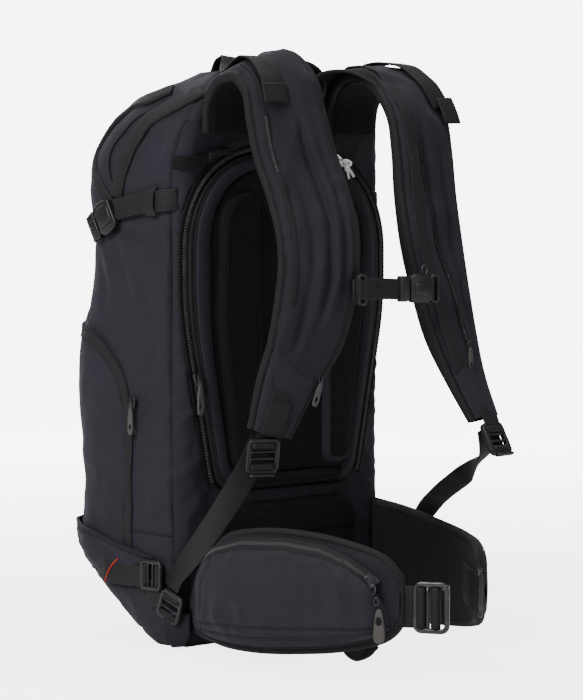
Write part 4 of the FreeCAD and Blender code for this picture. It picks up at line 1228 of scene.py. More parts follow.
def strap_shell(name, strap, node, pleat, folds_seed):
    """Padded strap: crowned outer face with rolled edges, and a knitted inner face, as two sheets."""
    outer_u = np.linspace(-0.93, 0.93, 40)
    rows, uv_rows = [], []
    for index in range(STRAP_STEPS):
        half = strap.thick[index] / 2
        edge = np.clip((1 - np.abs(outer_u)) * strap.width[index] / 2 / 9.0, 0, 1)
        crown = half * (0.42 + 0.58 * np.sin(edge * math.pi / 2)) + 1.8 * (1 - outer_u ** 2)
        points = strap.at(index, outer_u, crown)
        share = index / (STRAP_STEPS - 1)
        depth = 2.2 * folds(points, (28, 28, 66), folds_seed) + 1.2 * noise(points, (14, 14, 26), folds_seed)
        for centre, width, amount, first, last in pleat:
            fade = rise(share, first, first + 0.1) * (1 - rise(share, last - 0.1, last))
            middle = centre + 0.07 * math.sin(share * 9 + folds_seed)
            distance = (outer_u - middle) / width
            depth = depth - fade * amount * (np.exp(-distance ** 2) - 0.55 * np.exp(-(distance - 2.0) ** 2))
        near_edge = np.exp(-((np.abs(outer_u) - 0.90) * strap.width[index] / 2 / 2.0) ** 2)
        ripple = 0.5 * np.sin(strap.distance[index] / 3.1 + 2.5 * noise(points, 24.0)) * np.exp(
            -(1 - np.abs(outer_u)) * strap.width[index] / 2 / 7.0)
        points = points + strap.out[index] * (depth * np.clip(edge, 0.2, 1) - near_edge + ripple)[:, None]
        rows.append(points)
        uv_rows.append(np.column_stack([outer_u * strap.width[index] / 2,
                                        np.full(len(outer_u), strap.distance[index])]))
    grid = np.array(rows)
    strap.shell, strap.shell_u = grid, outer_u
    outer = sheet_grid(name, grid, "strap", "pack", np.array(uv_rows))
    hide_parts(node)
    rows, uv_rows = [], []
    inner_u = np.linspace(-0.93, 0.93, 24)
    for index in range(STRAP_STEPS):
        half = strap.thick[index] / 2
        edge = np.clip((1 - np.abs(inner_u)) * strap.width[index] / 2 / 8.0, 0, 1)
        points = strap.at(index, inner_u, -half * (0.35 + 0.65 * np.sin(edge * math.pi / 2)))
        points = points + strap.out[index] * (0.4 * noise(points, 20.0))[:, None]
        rows.append(points)
        uv_rows.append(np.column_stack([inner_u * strap.width[index] / 2,
                                        np.full(len(inner_u), strap.distance[index])]))
    inner = sheet_grid(name + "_lining", np.array(rows), "mesh", "pack", np.array(uv_rows), flip=True)


def strap_binding(name, strap, side):
    """Bound edge of a strap: tape folded round the seam, with a row of stitches."""
    centre = strap.points + strap.across * (side * (strap.width / 2 - 1.5))[:, None]
    heights = strap.thick * 0.36
    angles = [2 * math.pi * step / 18 for step in range(18)]
    profile_ring = np.array([(math.cos(angle), math.sin(angle)) for angle in angles])

    def section(place, size):
        sharp = np.sign(profile_ring) * np.abs(profile_ring) ** 0.75
        return sharp * np.array([BINDING / 2, max(heights[place], 2.6)])

    bound = sweep(name, centre, strap.across, np.ones(STRAP_STEPS), section, "binding", "pack")
    lift = heights * 0.96 + 0.45
    line = centre + strap.across * (-side * 2.0) + strap.out * lift[:, None]
    thread = stitches(name + "_stitches", line, 3.6, 0.55, "thread", "pack")


RIGHT = Strap(STRAP_RIGHT)
LEFT = Strap(STRAP_LEFT)
strap_shell("strap_right", RIGHT, "shoulder_strap_right",
            [(0.22, 0.10, 4.2, 0.28, 0.78), (-0.25, 0.12, 2.8, 0.42, 0.86), (0.6, 0.10, 2.4, 0.35, 0.70)],
            3.0)
strap_shell("strap_left", LEFT, "shoulder_strap_left",
            [(-0.12, 0.12, 3.2, 0.30, 0.70), (0.45, 0.12, 2.6, 0.35, 0.85)], 8.0)
for strap, label in ((RIGHT, "right"), (LEFT, "left")):
    for side in (-1, 1):
        inner = side > 0 if label == "right" else side < 0
        strap_binding("strap_" + label + ("_inner_edge" if inner else "_outer_edge"), strap, side)


def surface_strip(name, strap, u, width, lift, thick, material, start, stop):
    """Tape sewn along the outer face of a strap."""
    line = strap.line(u, lift, start, stop)
    strip = band(name, line, strap.across[start:stop], width, thick, material, "pack", count=stop - start)


# zip of the right strap's sleeve, beside its outer binding, and the neutral tape of the left strap
surface_strip("strap_right_zip_tape", RIGHT, -0.66, 5.0, 0.2, 1.8, "binding", 30, 122)
teeth("strap_right_zip_coil", RIGHT.line(-0.66, 1.3, 52, 74), RIGHT.across[52:74], 2.6, 3.0, 1.5,
              "coil", "pack")
surface_strip("strap_left_tape", LEFT, -0.64, 14.0, 0.5, 1.6, "tape", 20, 152)
LEFT_ZIP_U = [-0.30, -0.05, 0.12]
surface_strip("strap_left_zip_tape", LEFT, LEFT_ZIP_U, 6.5, 0.3, 1.8, "zip_base", 66, 142)
teeth("strap_left_zip_coil", LEFT.line(LEFT_ZIP_U, 1.4, 66, 142), LEFT.across[66:142], 2.6, 2.8, 1.4,
              "slider", "pack")


def end_patch(name, strap, start, material):
    """Folded fabric patch sewn over the lower end of a strap."""
    steps = np.arange(start, STRAP_STEPS)
    u = np.linspace(-0.90, 0.90, 26)
    rows, uvs = [], []
    for index in steps:
        half = strap.thick[index] / 2
        edge = np.clip((1 - np.abs(u)) * strap.width[index] / 2 / 9.0, 0, 1)
        slant = (u + 0.9) / 1.8 * 8
        begin = rise(index - slant, start - 1, start + 1.5)
        crown = (half * (0.42 + 0.58 * np.sin(edge * math.pi / 2)) + 1.8 * (1 - u ** 2)
                 + 1.1 * begin - 1.2 * (1 - begin))
        points = strap.at(index, u, crown)
        points += strap.out[index] * (0.5 * noise(points, (10, 10, 16)))[:, None]
        rows.append(points)
        uvs.append(np.column_stack([u * strap.width[index] / 2, np.full(len(u), strap.distance[index])]))
    patch = sheet_grid(name, np.array(rows), material, "pack", np.array(uvs))
    seam_start = strap.at(start + 1, np.array([-0.9]), np.array([strap.thick[start] / 2 + 0.9]))[0]
    seam_stop = strap.at(start + 9, np.array([0.9]), np.array([strap.thick[start] / 2 + 0.9]))[0]
    middle = (seam_start + seam_stop) / 2 + strap.out[start + 5] * 2.6
    line = smooth_rows([seam_start, middle, seam_stop], 30)
    thread = stitches(name + "_stitches", line, 3.4, 0.55, "dark_thread", "pack")


end_patch("strap_right_end_patch", RIGHT, 138, "ripstop")
end_patch("strap_left_end_patch", LEFT, 146, "ripstop")
end_line = RIGHT.line(-0.12, 2.0, 146, STRAP_STEPS)
end_web = band("strap_right_end_ladder", end_line, RIGHT.across[146:], 21, 1.8, "webbing", "pack", count=24)
for number, step in enumerate((147, 150, 153, 156)):
    middle = RIGHT.line(-0.12, 3.1, step, step + 1)[0]
    bar = [middle - RIGHT.across[step] * 9.0, middle + RIGHT.across[step] * 9.0]
    end_bar = tube("strap_right_end_bar_%d" % number, bar, 0.9, "dark_thread", "pack", sides=6, count=6)


# ---- webbing of the harness --------------------------------------------------------------------------
ADJUST_RIGHT = [
    (-93.5, -67, 206, -25), (-97, -58, 184, -30), (-112, -44, 148, -48), (-130, -27, 110, -66),
    (-143, -11, 82, -80), (-148, -2, 69, -90), (-148.6, 2, 61, -90),
]
ADJUST_LEFT = [
    (92, -190, 212, 0), (98, -186, 190, 10), (113, -162, 174, 50), (132, -122, 156, 80),
    (150, -80, 136, 95), (167, -42, 112, 92), (166, -18, 78, 90), (152, -4, 70, 90), (148.6, 2, 61, 90),
]
LIFTER_STARTS = {"right": [(-72, 18, 545), (-69, 16, 562), (-66, 11, 574), (-68, 1, 575), (-76, -9, 565)],
                 "left": [(94, 22, 543), (93, 10, 558), (91, -8, 566)]}
WEB = 25.0


def turned_band(name, rows, width, thick, node, count=70, body="pack", wave=0.0):
    """Webbing along x, y, z with the turn of its width."""
    rows = np.asarray(rows, float)
    strip = band(name, rows[:, :3], turned(rows[:, 3]), width, thick, "webbing", body, count, wave)
    if node:
        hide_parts(node)
    return strip


turned_band("adjuster_strap_right", ADJUST_RIGHT, WEB - 1.0, 1.8, "adjuster_webbing_right", 90)
turned_band("adjuster_strap_left", ADJUST_LEFT, WEB - 4.0, 1.8, "adjuster_webbing_left", 110, wave=0.5)
LIFTER_RIGHT = np.vstack([LIFTER_STARTS["right"], RIGHT.line([-0.1, -0.36], 1.6, 21, 46)[::4]])
LIFTER_LEFT = np.vstack([LIFTER_STARTS["left"], LEFT.line([0.1, 0.5, 0.9], 3.4, 20, 56)[::4]])
for label, route in (("right", LIFTER_RIGHT), ("left", LIFTER_LEFT)):
    rows = [(x, y, z, -10 if label == "right" and y < -50 else 0) for x, y, z in route]
    turned_band("load_lifter_" + label, rows, WEB, 2.0, None, 90)
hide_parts("load_lifters")


def box_patch(name, centre, across, up, width, height, thick, material, body):
    """Small sewn patch of webbing with a box of stitches."""
    centre, across, up = np.asarray(centre), unit(across), unit(up)
    rows = [centre + up * step for step in np.linspace(-height / 2, height / 2, 5)]
    patch = band(name, rows, across, width, thick, material, body, count=12)
    out = np.cross(up, across)
    corners = [(-1, -1), (1, -1), (1, 1), (-1, 1), (-1, -1)]
    line = []
    for (ax, az), (bx, bz) in zip(corners, corners[1:]):
        for share in np.linspace(0, 1, 12, endpoint=False):
            sx, sz = ax + (bx - ax) * share, az + (bz - az) * share
            line.append(centre + across * sx * (width / 2 - 2) + up * sz * (height / 2 - 2)
                        + out * (thick / 2 + 0.1))
    thread = stitches(name + "_stitches", line, 3.0, 0.5, "dark_thread", body)


# ---- hip belt ------------------------------------------------------------------------------------------
# x, y, bottom, top, thickness
WING_RIGHT = [
    (-126, -9, 18, 82, 10), (-138, -42, 16, 92, 11), (-149, -80, 14, 117, 14), (-151, -120, 14, 126, 16),
    (-146, -170, 18, 128, 16), (-133, -215, 24, 122, 15), (-118, -250, 34, 110, 13),
    (-110, -266, 42, 100, 10),
]
WING_LEFT = [
    (126, -9, 12, 126, 10), (140, -40, 6, 118, 12), (150, -78, 5, 106, 16), (148, -112, 7, 98, 18),
    (136, -140, 12, 92, 17), (114, -164, 20, 86, 15), (94, -182, 28, 79, 12),
]
WING_STEPS = 90
TIP_ROUND = 20.0


class Wing:
    """Middle surface of a hip wing: points by station and height."""

    def __init__(self, rows, sign):
        rows = np.asarray(rows, float)
        flat = np.column_stack([rows[:, 0], rows[:, 1], np.zeros(len(rows)), rows[:, 2:]])
        smooth = smooth_rows(flat, WING_STEPS)
        self.points = smooth[:, :3]
        self.bottom, self.top, self.thick = smooth[:, 3], smooth[:, 4], smooth[:, 5]
        along = unit(np.gradient(self.points, axis=0))
        self.out = np.column_stack([along[:, 1], -along[:, 0], np.zeros(len(along))]) * (1
                                                                                         if sign < 0 else -1)
        if np.mean(self.out[:, 0]) * sign < 0:
            self.out = -self.out
        self.distance = lengths(self.points)
        near_tip = np.clip(1 - (self.distance[-1] - self.distance) / TIP_ROUND, 0, 1)
        rounding = TIP_ROUND * (1 - np.sqrt(1 - near_tip ** 2))
        self.top = self.top - rounding * 0.8
        self.bottom = self.bottom + rounding * 0.6

    def at(self, index, v, lift):
        """Points at shares v of the height, 0 at the bottom and 1 at the top."""
        z = self.bottom[index] + (self.top[index] - self.bottom[index]) * np.asarray(v)
        base = np.repeat(self.points[index][None], len(v), axis=0)
        base[:, 2] = z
        return base + self.out[index] * np.asarray(lift)[..., None]


def wing_cloth(name, wing, node, sign):
    """Outer face, knitted inner face and rolled rim of a hip wing."""
    v = np.linspace(0.03, 0.97, 34)
    shells = {}
    for face, direction, material, slot in (("outer", 1, "strap", "strap_fabric"),
                                            ("inner", -1, "wing_mesh", "mesh")):
        rows, uvs = [], []
        for index in range(WING_STEPS):
            tall = wing.top[index] - wing.bottom[index]
            edge = np.clip(np.minimum(v, 1 - v) * tall / 10.0, 0, 1)
            half = wing.thick[index] / 2
            lift = direction * (half * (0.4 + 0.6 * np.sin(edge * math.pi / 2)) + 1.2 * np.sin(math.pi * v))
            points = wing.at(index, v, lift)
            ripple = 0.4 * noise(points, (18, 18, 14)) + 0.5 * folds(points, (40, 40, 26)) * edge
            points += wing.out[index] * (direction * ripple * 0.7)[:, None]
            rows.append(points)
            uvs.append(np.column_stack([np.full(len(v), wing.distance[index]), points[:, 2]]))
        obj = sheet_grid(name + "_" + face, np.array(rows), material, None, np.array(uvs),
                         flip=direction * sign > 0)
        shells[face] = obj
    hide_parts(node)
    top = [wing.at(index, np.array([0.985]), np.array([0.0]))[0] for index in range(WING_STEPS)]
    bottom = [wing.at(index, np.array([0.015]), np.array([0.0]))[0] for index in range(WING_STEPS)]
    loop = np.array(top + bottom[::-1])
    rim_radius = 4.4 if sign < 0 else 5.6
    rim = tube(name + "_rim", evenly_open(loop, 260), rim_radius, "binding", None, sides=12, count=260)
    thread_line = np.array([wing.at(index, np.array([0.985]), np.array([wing.thick[index] * 0.1]))[0]
                            + wing.out[index] * 5.2 - np.array([0, 0, 1.5])
                            for index in range(4, WING_STEPS)])
    low_line = np.array([wing.at(index, np.array([0.015]), np.array([0.0]))[0]
                         + wing.out[index] * 5.3 + np.array([0, 0, 1.5]) for index in range(4, WING_STEPS)])
    threads = []
    for label, line in (("top", thread_line), ("bottom", low_line)):
        threads.append(stitches(name + "_" + label + "_stitches", line, 3.6, 0.55, "thread", None))
    for obj in [shells["outer"], shells["inner"], rim] + threads:
        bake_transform(obj)


def evenly_open(points, count):
    """Open path resampled to evenly spaced points."""
    distance = lengths(points)
    at = np.linspace(0, distance[-1], count)
    return sample(points, at, distance)


WING_R = Wing(WING_RIGHT, -1)
WING_L = Wing(WING_LEFT, 1)
wing_cloth("hip_wing_right_cloth", WING_R, "hip_wing_right", -1)
wing_cloth("hip_wing_left_cloth", WING_L, "hip_wing_left", 1)


def wing_point(wing, share, z, lift):
    """Point at a share of a wing's length, at height z, off its middle surface."""
    at = share * (WING_STEPS - 1)
    index = int(np.clip(math.floor(at), 0, WING_STEPS - 2))
    part = at - index
    base = wing.points[index] * (1 - part) + wing.points[index + 1] * part
    out = unit(wing.out[index] * (1 - part) + wing.out[index + 1] * part)
    point = base + out * lift
    point[2] = z
    return point


def wing_heights(wing, share):
    """Bottom and top of a wing at a share of its length."""
    at = share * (WING_STEPS - 1)
    return np.interp(at, range(WING_STEPS), wing.bottom), np.interp(at, range(WING_STEPS), wing.top)


POCKET_FROM, POCKET_TO = 0.13, 0.965
TAPE_END = 76


def zip_height(t):
    """Height of the hip pocket's zip at a share t of the pocket's length."""
    return np.interp(t, [0, 0.07, 0.12, 0.19, 0.34, 0.57, 0.72, 0.83, 0.93, 0.96, 1.0],
                     [72, 88, 97, 104, 113, 116, 112, 103, 88, 80, 64])


def hip_pocket():
    """Bulging ripstop pocket on the right wing, gathered at its seams."""
    columns, rows_count = 90, 44
    grid = np.zeros((rows_count, columns, 3))
    uvs = np.zeros((rows_count, columns, 2))
    run = (POCKET_TO - POCKET_FROM) * WING_R.distance[-1]
    for column, t in enumerate(np.linspace(0, 1, columns)):
        share = POCKET_FROM + (POCKET_TO - POCKET_FROM) * t
        bottom, top = wing_heights(WING_R, share)
        low, high = bottom + 6, float(zip_height(t)) - 1.5
        thick = np.interp(share * (WING_STEPS - 1), range(WING_STEPS), WING_R.thick)
        for row, s in enumerate(np.linspace(0, 1, rows_count)):
            z = low + (high - low) * s
            side = min(1.0, t / 0.10) if t < 0.5 else min(1.0, (1 - t) / 0.08)
            side = math.sin(side * math.pi / 2)
            belly = math.sin(math.pi * min(1.0, s * 1.15 + 0.02)) if s < 0.43 else 1.0
            shoulder = 1.0 - 0.45 * max(0.0, (s - 0.72) / 0.28) ** 2
            rise_off = (3.5 + 12.5 * math.sin(min(1.0, s / 0.30) * math.pi / 2) * shoulder) * side + 1.0
            grid[row, column] = wing_point(WING_R, share, z, thick / 2 + rise_off)
            uvs[row, column] = (run * t, z)
    t = np.linspace(0, 1, columns)[None]
    s = np.linspace(0, 1, rows_count)[:, None]
    out = np.array([WING_R.out[int((POCKET_FROM + (POCKET_TO - POCKET_FROM) * value) * (WING_STEPS - 1))]
                    for value in np.linspace(0, 1, columns)])
    inside = np.minimum(np.minimum(t / 0.06, (1 - t) / 0.06), np.minimum(s / 0.06, (1 - s) / 0.06)).clip(0, 1)
    wrinkle = 1.7 * folds(grid, (36, 36, 24), 2.0) + 0.9 * noise(grid, (15, 15, 13), 4.0)
    gather = 0.8 * np.sin(t * run / 3.2 + 2 * noise(grid, 20.0)) * np.exp(-(1 - s) * 44 / 7.0)
    gather = gather + 0.7 * np.sin(t * run / 4.0
                                   + 1.5 * noise(grid, 16.0)) * np.exp(-np.abs(s - 0.2) * 44 / 5.0)
    seam = 1.6 * np.exp(-((s - 0.20) * 60 / 1.6) ** 2)
    pleat_line = (t - 0.17 + 0.09 * (1 - s)) / 0.012
    pleat = 2.2 * np.exp(-pleat_line ** 2) - 1.3 * np.exp(-(pleat_line - 2.2) ** 2)
    corner_line = (t - 0.90 + 0.30 * np.clip(s - 0.45, 0, 1)) / 0.014
    corner = 1.6 * np.exp(-corner_line ** 2) * rise(s, 0.35, 0.6)
    grid += out[None] * ((wrinkle + gather - pleat - corner) * inside - seam)[..., None]
    for label, row in (("upper", 9), ("lower", 4)):
        seam_line = grid[row] + out * 0.2
        tube("hip_pocket_seam_" + label, seam_line[3:-4], 0.9, "binding", "hip_wing_right",
                     sides=6,
                     count=150)
    pocket = sheet_grid("hip_pocket_cloth", grid, "ripstop", None, uvs)
    return pocket, grid, out


def hip_pocket_parts():
    """Pocket, its zip arc with tape, coil and stitches, and the seams below it."""
    pocket, grid, out = hip_pocket()
    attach(pocket, "hip_wing_right")
    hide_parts("hip_pocket")
    line = []
    for t in np.linspace(-0.02, 1.0, 80):
        share = POCKET_FROM + (POCKET_TO - POCKET_FROM) * t
        thick = np.interp(share * (WING_STEPS - 1), range(WING_STEPS), WING_R.thick)
        lift = thick / 2 + np.interp(t, [-0.02, 0.1, 0.85, 1.0], [2.5, 8.0, 8.0, 3.0])
        line.append(wing_point(WING_R, share, float(zip_height(t)) + 2.5, lift))
    line = np.array(line)
    index = (np.linspace(POCKET_FROM, POCKET_TO, 80) * (WING_STEPS - 1)).astype(int)
    outward = unit(WING_R.out[index] + np.array([0, 0, 0.75]))
    along = unit(np.gradient(line, axis=0))
    across = unit(np.cross(outward, along))
    tape = band("hip_pocket_tape", line[:TAPE_END], across[:TAPE_END], 13.0, 1.2, "binding", "hip_wing_right",
                count=120)
    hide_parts("hip_pocket_zip")
    coil = teeth("hip_pocket_coil", line[4:-6] + outward[4:-6] * 0.7, across[4:-6], 2.2, 4.0, 1.3, "coil",
                 "hip_wing_right")
    seam_top = stitches("hip_pocket_zip_stitches", (line - across * 5.0 + outward * 0.8)[:TAPE_END], 3.4, 0.5,
                        "dark_thread", "hip_wing_right")
    return line, outward


POCKET_LINE, POCKET_OUT = hip_pocket_parts()


# ---- hard pieces ---------------------------------------------------------------------------------------
def plate(outline, thick, y=0.0):
    """Flat plate from an outline in its own x and z."""
    count = len(outline)
    verts = [(x, y - thick / 2, z) for x, z in outline] + [(x, y + thick / 2, z) for x, z in outline]
    faces = [list(range(count)), list(range(2 * count - 1, count - 1, -1))]
    faces += [[index, count + index, count + (index + 1) % count, (index + 1) % count]
              for index in range(count)]
    return verts, faces


def hard(name, part, centre, across, up, material, body, width=0.8, node=None):
    """Hard piece in its own axes, placed on the pack with rounded edges."""
    verts, faces = part
    obj = bevelled(name, placed(verts, centre, across, up), faces, material, body, width)
    if node:
        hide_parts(node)
    return obj


def inward_of(across, up):
    """Direction through a piece, square to its width and height."""
    across = unit(across)
    return np.cross(unit(np.asarray(up, float) - across * np.dot(across, up)), across)


def hoop(name, centre, across, up, width, height, corner, bar, thick, material, body):
    """Rounded rectangular ring."""
    w, h = (width - bar) / 2, (height - bar) / 2
    path = rounded_path([(-w, -h), (w, -h), (w, h), (-w, h)], [corner] * 4, step=1.0)
    middle = (path[-1] + path[0]) / 2
    loop = np.vstack([[middle], path, [middle]])
    flat = np.column_stack([loop[:, 0], np.zeros(len(loop)), loop[:, 1]])
    points = placed(flat, centre, across, up)
    ring = rounded_ring(thick, bar, corner=0.3)
    return sweep(name, points, np.repeat([inward_of(across, up)], len(points), 0), np.ones(len(points)),
                 lambda index, size: ring, material, body, caps=False)


def rod(name, centre, across, up, x0, z0, x1, z1, bar, thick, material, body, y=0.0):
    """Straight bar between two points of a piece's own plane."""
    ends = placed([(x0, y, z0), (x1, y, z1)], centre, across, up)
    return band(name, ends, inward_of(across, up), thick, bar, material, body, count=6)


def ladder(name, node, centre, across, up, web, height, thick, body, rolls=True, lip=True):
    """Ladder-lock adjuster with a grip lip, and the webbing rolled round its bars."""
    width = web + 8
    parts = [hoop(name, centre, across, up, width, height, 4.0, 4.4, thick, "plastic", body)]
    for z in (-2.6, 4.4):
        parts.append(rod(name, centre, across, up, -web / 2 - 1, z, web / 2 + 1, z, 2.6, thick * 0.8,
                         "plastic", body))
    if lip:
        low = -height / 2
        parts.append(rod(name, centre, across, up, -width / 2 + 4, low - 0.6, width / 2 - 4, low - 0.6, 3.0,
                         thick * 0.9,
                         "plastic", body, y=-thick * 0.45))
    lock = join(name, parts)
    if node:
        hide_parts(node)
    if rolls:
        wraps = []
        for z in (-height / 4 - 2.4, height / 4 + 1.2):
            route = placed([(-web / 2 + 0.6, -thick * 0.1, z), (web / 2 - 0.6, -thick * 0.1, z)], centre,
                           across, up)
            wraps.append(tube(name + "_webbing", route, height / 9, "webbing", body, sides=14, count=8))
        wrap_piece = join(name + "_webbing", wraps)
    return lock


def tab(length, top, bottom, hole_at, hole_width, hole_height, thick):
    """Tapered pull tab with an oval hole, its hinge end at the origin."""
    count = 36
    outer, inner = [], []
    for step in range(count):
        angle = 2 * math.pi * step / count
        c, s = math.cos(angle), math.sin(angle)
        sharp = 0.62
        z = -length / 2 + length / 2 * math.copysign(abs(s) ** sharp, s)
        half = top + (bottom - top) * (-z / length)
        outer.append((half / 2 * math.copysign(abs(c) ** sharp, c), z))
        inner.append((hole_width / 2 * c, hole_at + hole_height / 2 * s))
    verts = [(x, y, z) for y in (-thick / 2, thick / 2) for ring in (outer, inner) for x, z in ring]
    faces = []
    for i in range(count):
        j = (i + 1) % count
        faces.append((i, j, count + j, count + i))
        faces.append((2 * count + i, 3 * count + i, 3 * count + j, 2 * count + j))
        faces.append((i, 2 * count + i, 2 * count + j, j))
        faces.append((count + i, count + j, 3 * count + j, 3 * count + i))
    return verts, faces


def slider(name, node, centre, along, out, body, size=1.0):
    """Zip slider: a waisted plate with a raised bridge."""
    across = np.cross(np.asarray(along, float), np.asarray(out, float))
    outline = [(-3.2, -6.5), (3.2, -6.5), (4.6, -2), (5.4, 5), (3.4, 7), (1.0, 5.4), (-1.0, 5.4), (-3.4, 7),
               (-5.4, 5),
               (-4.6, -2)]
    outline, bridge = [[(x * size, z * size) for x, z in shape]
                       for shape in (outline, [(-1.5, -5.5), (1.5, -5.5), (1.5, 4.5), (-1.5, 4.5)])]
    part = merged([plate(outline, 2.6 * size), plate(bridge, 2.2 * size, 2.3 * size),
                   plate(bridge, 2.2 * size, -2.3 * size)])
    return hard(name, part, centre, unit(across), along, "slider", body, 0.6, node)


def link(name, centre, across, radius, thick, body, tall=1.6):
    """Small wire link between a slider and its pull."""
    angles = np.linspace(0, 2 * math.pi, 25)
    up = np.array([0.0, 0.0, 1.0])
    points = np.array([np.asarray(centre) + unit(across) * math.cos(a) * radius
                       + up * math.sin(a) * radius * tall
                       for a in angles])
    ring = tube(name, points, thick, "slider", body, sides=7, count=34)
    return ring


# back zip: slider, link and hanging pull
LEAN = unit(np.array([-38.0, 0.0, 180.0]))
slider("back_zip_runner", "back_zip_slider", (-124.2, -10.8, 262), LEAN, (0, -1, 0), "back_zip_slider", 1.0)
link("back_zip_link", (-124.2, -13.8, 258.5), (1, 0, 0), 2.4, 0.7, "back_zip_pull")
hard("back_zip_tab", tab(30, 5.5, 8.5, -21, 3.4, 6.5, 2.6), (-124.2, -14.6, 257), (1, 0, 0), (0, 0, 1),
     "rubber", "back_zip_pull", 0.7, "back_zip_pull")

# side zip of the front pocket
slider("side_zip_runner", "side_zip_slider", (-151.6, 54, 237), (0, 0, 1), (-1, 0, 0), "side_zip_slider", 0.9)
link("side_zip_link", (-153.8, 54, 234.5), (0, 1, 0), 2.2, 0.7, "side_zip_pull")
hard("side_zip_tab", tab(27, 5.5, 8.5, -19, 3.4, 6.0, 2.4), (-153.9, 54, 233), (0, 1, 0), (0, 0, 1), "rubber",
     "side_zip_pull", 0.7, "side_zip_pull")

# hip pocket: slider near the front end of the zip and its tapered pull
hip_at = 74
hip_slider_at = POCKET_LINE[hip_at] + POCKET_OUT[hip_at] * 2.6
hip_along = unit(POCKET_LINE[hip_at + 2] - POCKET_LINE[hip_at - 2])
slider("hip_pocket_runner", None, hip_slider_at, hip_along, POCKET_OUT[hip_at], "hip_wing_right", 1.0)
flat_out = unit(np.array([POCKET_OUT[hip_at][0], POCKET_OUT[hip_at][1], 0.0]))
hip_across = np.cross(flat_out, [0.0, 0.0, 1.0])
link("hip_pocket_link", hip_slider_at + flat_out * 5.5 + hip_along * 4 - np.array([0, 0, 5]), hip_across, 2.6,
     0.8, "hip_wing_right")
link("hip_pocket_link_low", hip_slider_at + flat_out * 9.0 + hip_along * 10 - np.array([0, 0, 11]),
     hip_across, 2.2, 0.8, "hip_wing_right")
hard("hip_pocket_tab", tab(31, 6.5, 12.0, -11, 6.0, 8.0, 3.0),
     hip_slider_at + flat_out * 12.0 + hip_along * 15 - np.array([0, 0, 14]), hip_across, (0, 0, 1), "rubber",
     "hip_wing_right", 0.9)

# pulls of the strap zips, seen hanging from the straps
for label, strap, step, u in (("right", RIGHT, 144, 0.95), ("left", LEFT, 142, 0.12)):
    pull_at = strap.line(u, 2.6, step, step + 1)[0]
    link("strap_%s_pull_link" % label, pull_at, strap.across[step], 2.2, 0.7, "pack")
    hard("strap_%s_pull" % label, tab(24, 4.5, 7.0, -17, 3.0, 5.0, 2.2),
         pull_at + strap.out[step] * 1.2 - np.array([0, 0, 3.2]),
         strap.across[step], (0, 0, 1), "rubber", "pack", 0.7)

# ladder-locks
ladder("strap_lock_right", "strap_adjuster_right", (-98.6, -74, 190), turned(-25), (7, -16, 50), 25, 36, 6.0,
       "strap_adjuster_right")
LEFT_LOCK, LOCK_UP, LOCK_ACROSS = (94.0, -203.0, 203.0), (-4.0, 18.0, 36.0), turned(6)
ladder("strap_lock_left", "strap_adjuster_left", LEFT_LOCK, LOCK_ACROSS, LOCK_UP, 25, 34, 6.0,
       "strap_adjuster_left")
LOCK_UP = unit(LOCK_UP)
LOCK_OUT = np.cross(LOCK_ACROSS, LOCK_UP)
fill_route = [np.array(LEFT_LOCK) + LOCK_UP * s - LOCK_OUT * 2.6 for s in (-13, -6, 1, 8)]
lock_fill = band("strap_lock_left_webbing", fill_route, LOCK_ACROSS, 22, 1.6, "webbing",
                 "strap_adjuster_left", count=12)
base_locks, lower_locks = [], []
for side in (-1, 1):
    label = "right" if side < 0 else "left"
    base_locks.append(ladder("base_lock_" + label, None, (side * 148.8, 2, 42), (0, 0.93, 0.36),
                             (0, -0.36, 0.93), 24, 30,
                             5.0, "pack"))
    lower_locks.append(ladder("lower_lock_" + label, None, (side * 152.8, 25, 71), (0, 0, 1), (0, 1, 0), 22,
                              30, 5.0,
                              "pack"))
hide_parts("base_adjusters")
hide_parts("lower_adjusters")

# webbing sewn to the strap ends, and the tabs below the base locks
turned_band("strap_end_webbing_right", [(-91, -82.5, 226, -26), (-93, -79.5, 212, -25), (-97, -76, 200, -25)],
            24, 2.4, None, 24)
turned_band("strap_end_webbing_left", [(91, -189, 236, 0), (92.6, -195.5, 225, 3), (93.2, -199, 217, 4)], 23,
            2.4, None, 24)
for side in (-1, 1):
    label = "right" if side < 0 else "left"
    tab_points = [(side * 145.5, -3, 36), (side * 146.5, -3.5, 24), (side * 145.5, -3.5, 12),
                  (side * 142.5, -2.5, 3)]
    tab_rows = smooth_rows(tab_points, 30)
    tab_widths = 27 * np.sqrt(1 - 0.72 * rise(np.linspace(0, 1, 30), 0.45, 1.0) ** 2)
    tab_piece = sweep("base_tab_" + label, tab_rows, np.repeat([[side * 0.6, 0.8, 0.0]], 30, 0), tab_widths,
                      lambda index, size: rounded_ring(size, 3.2), "panel", "pack")


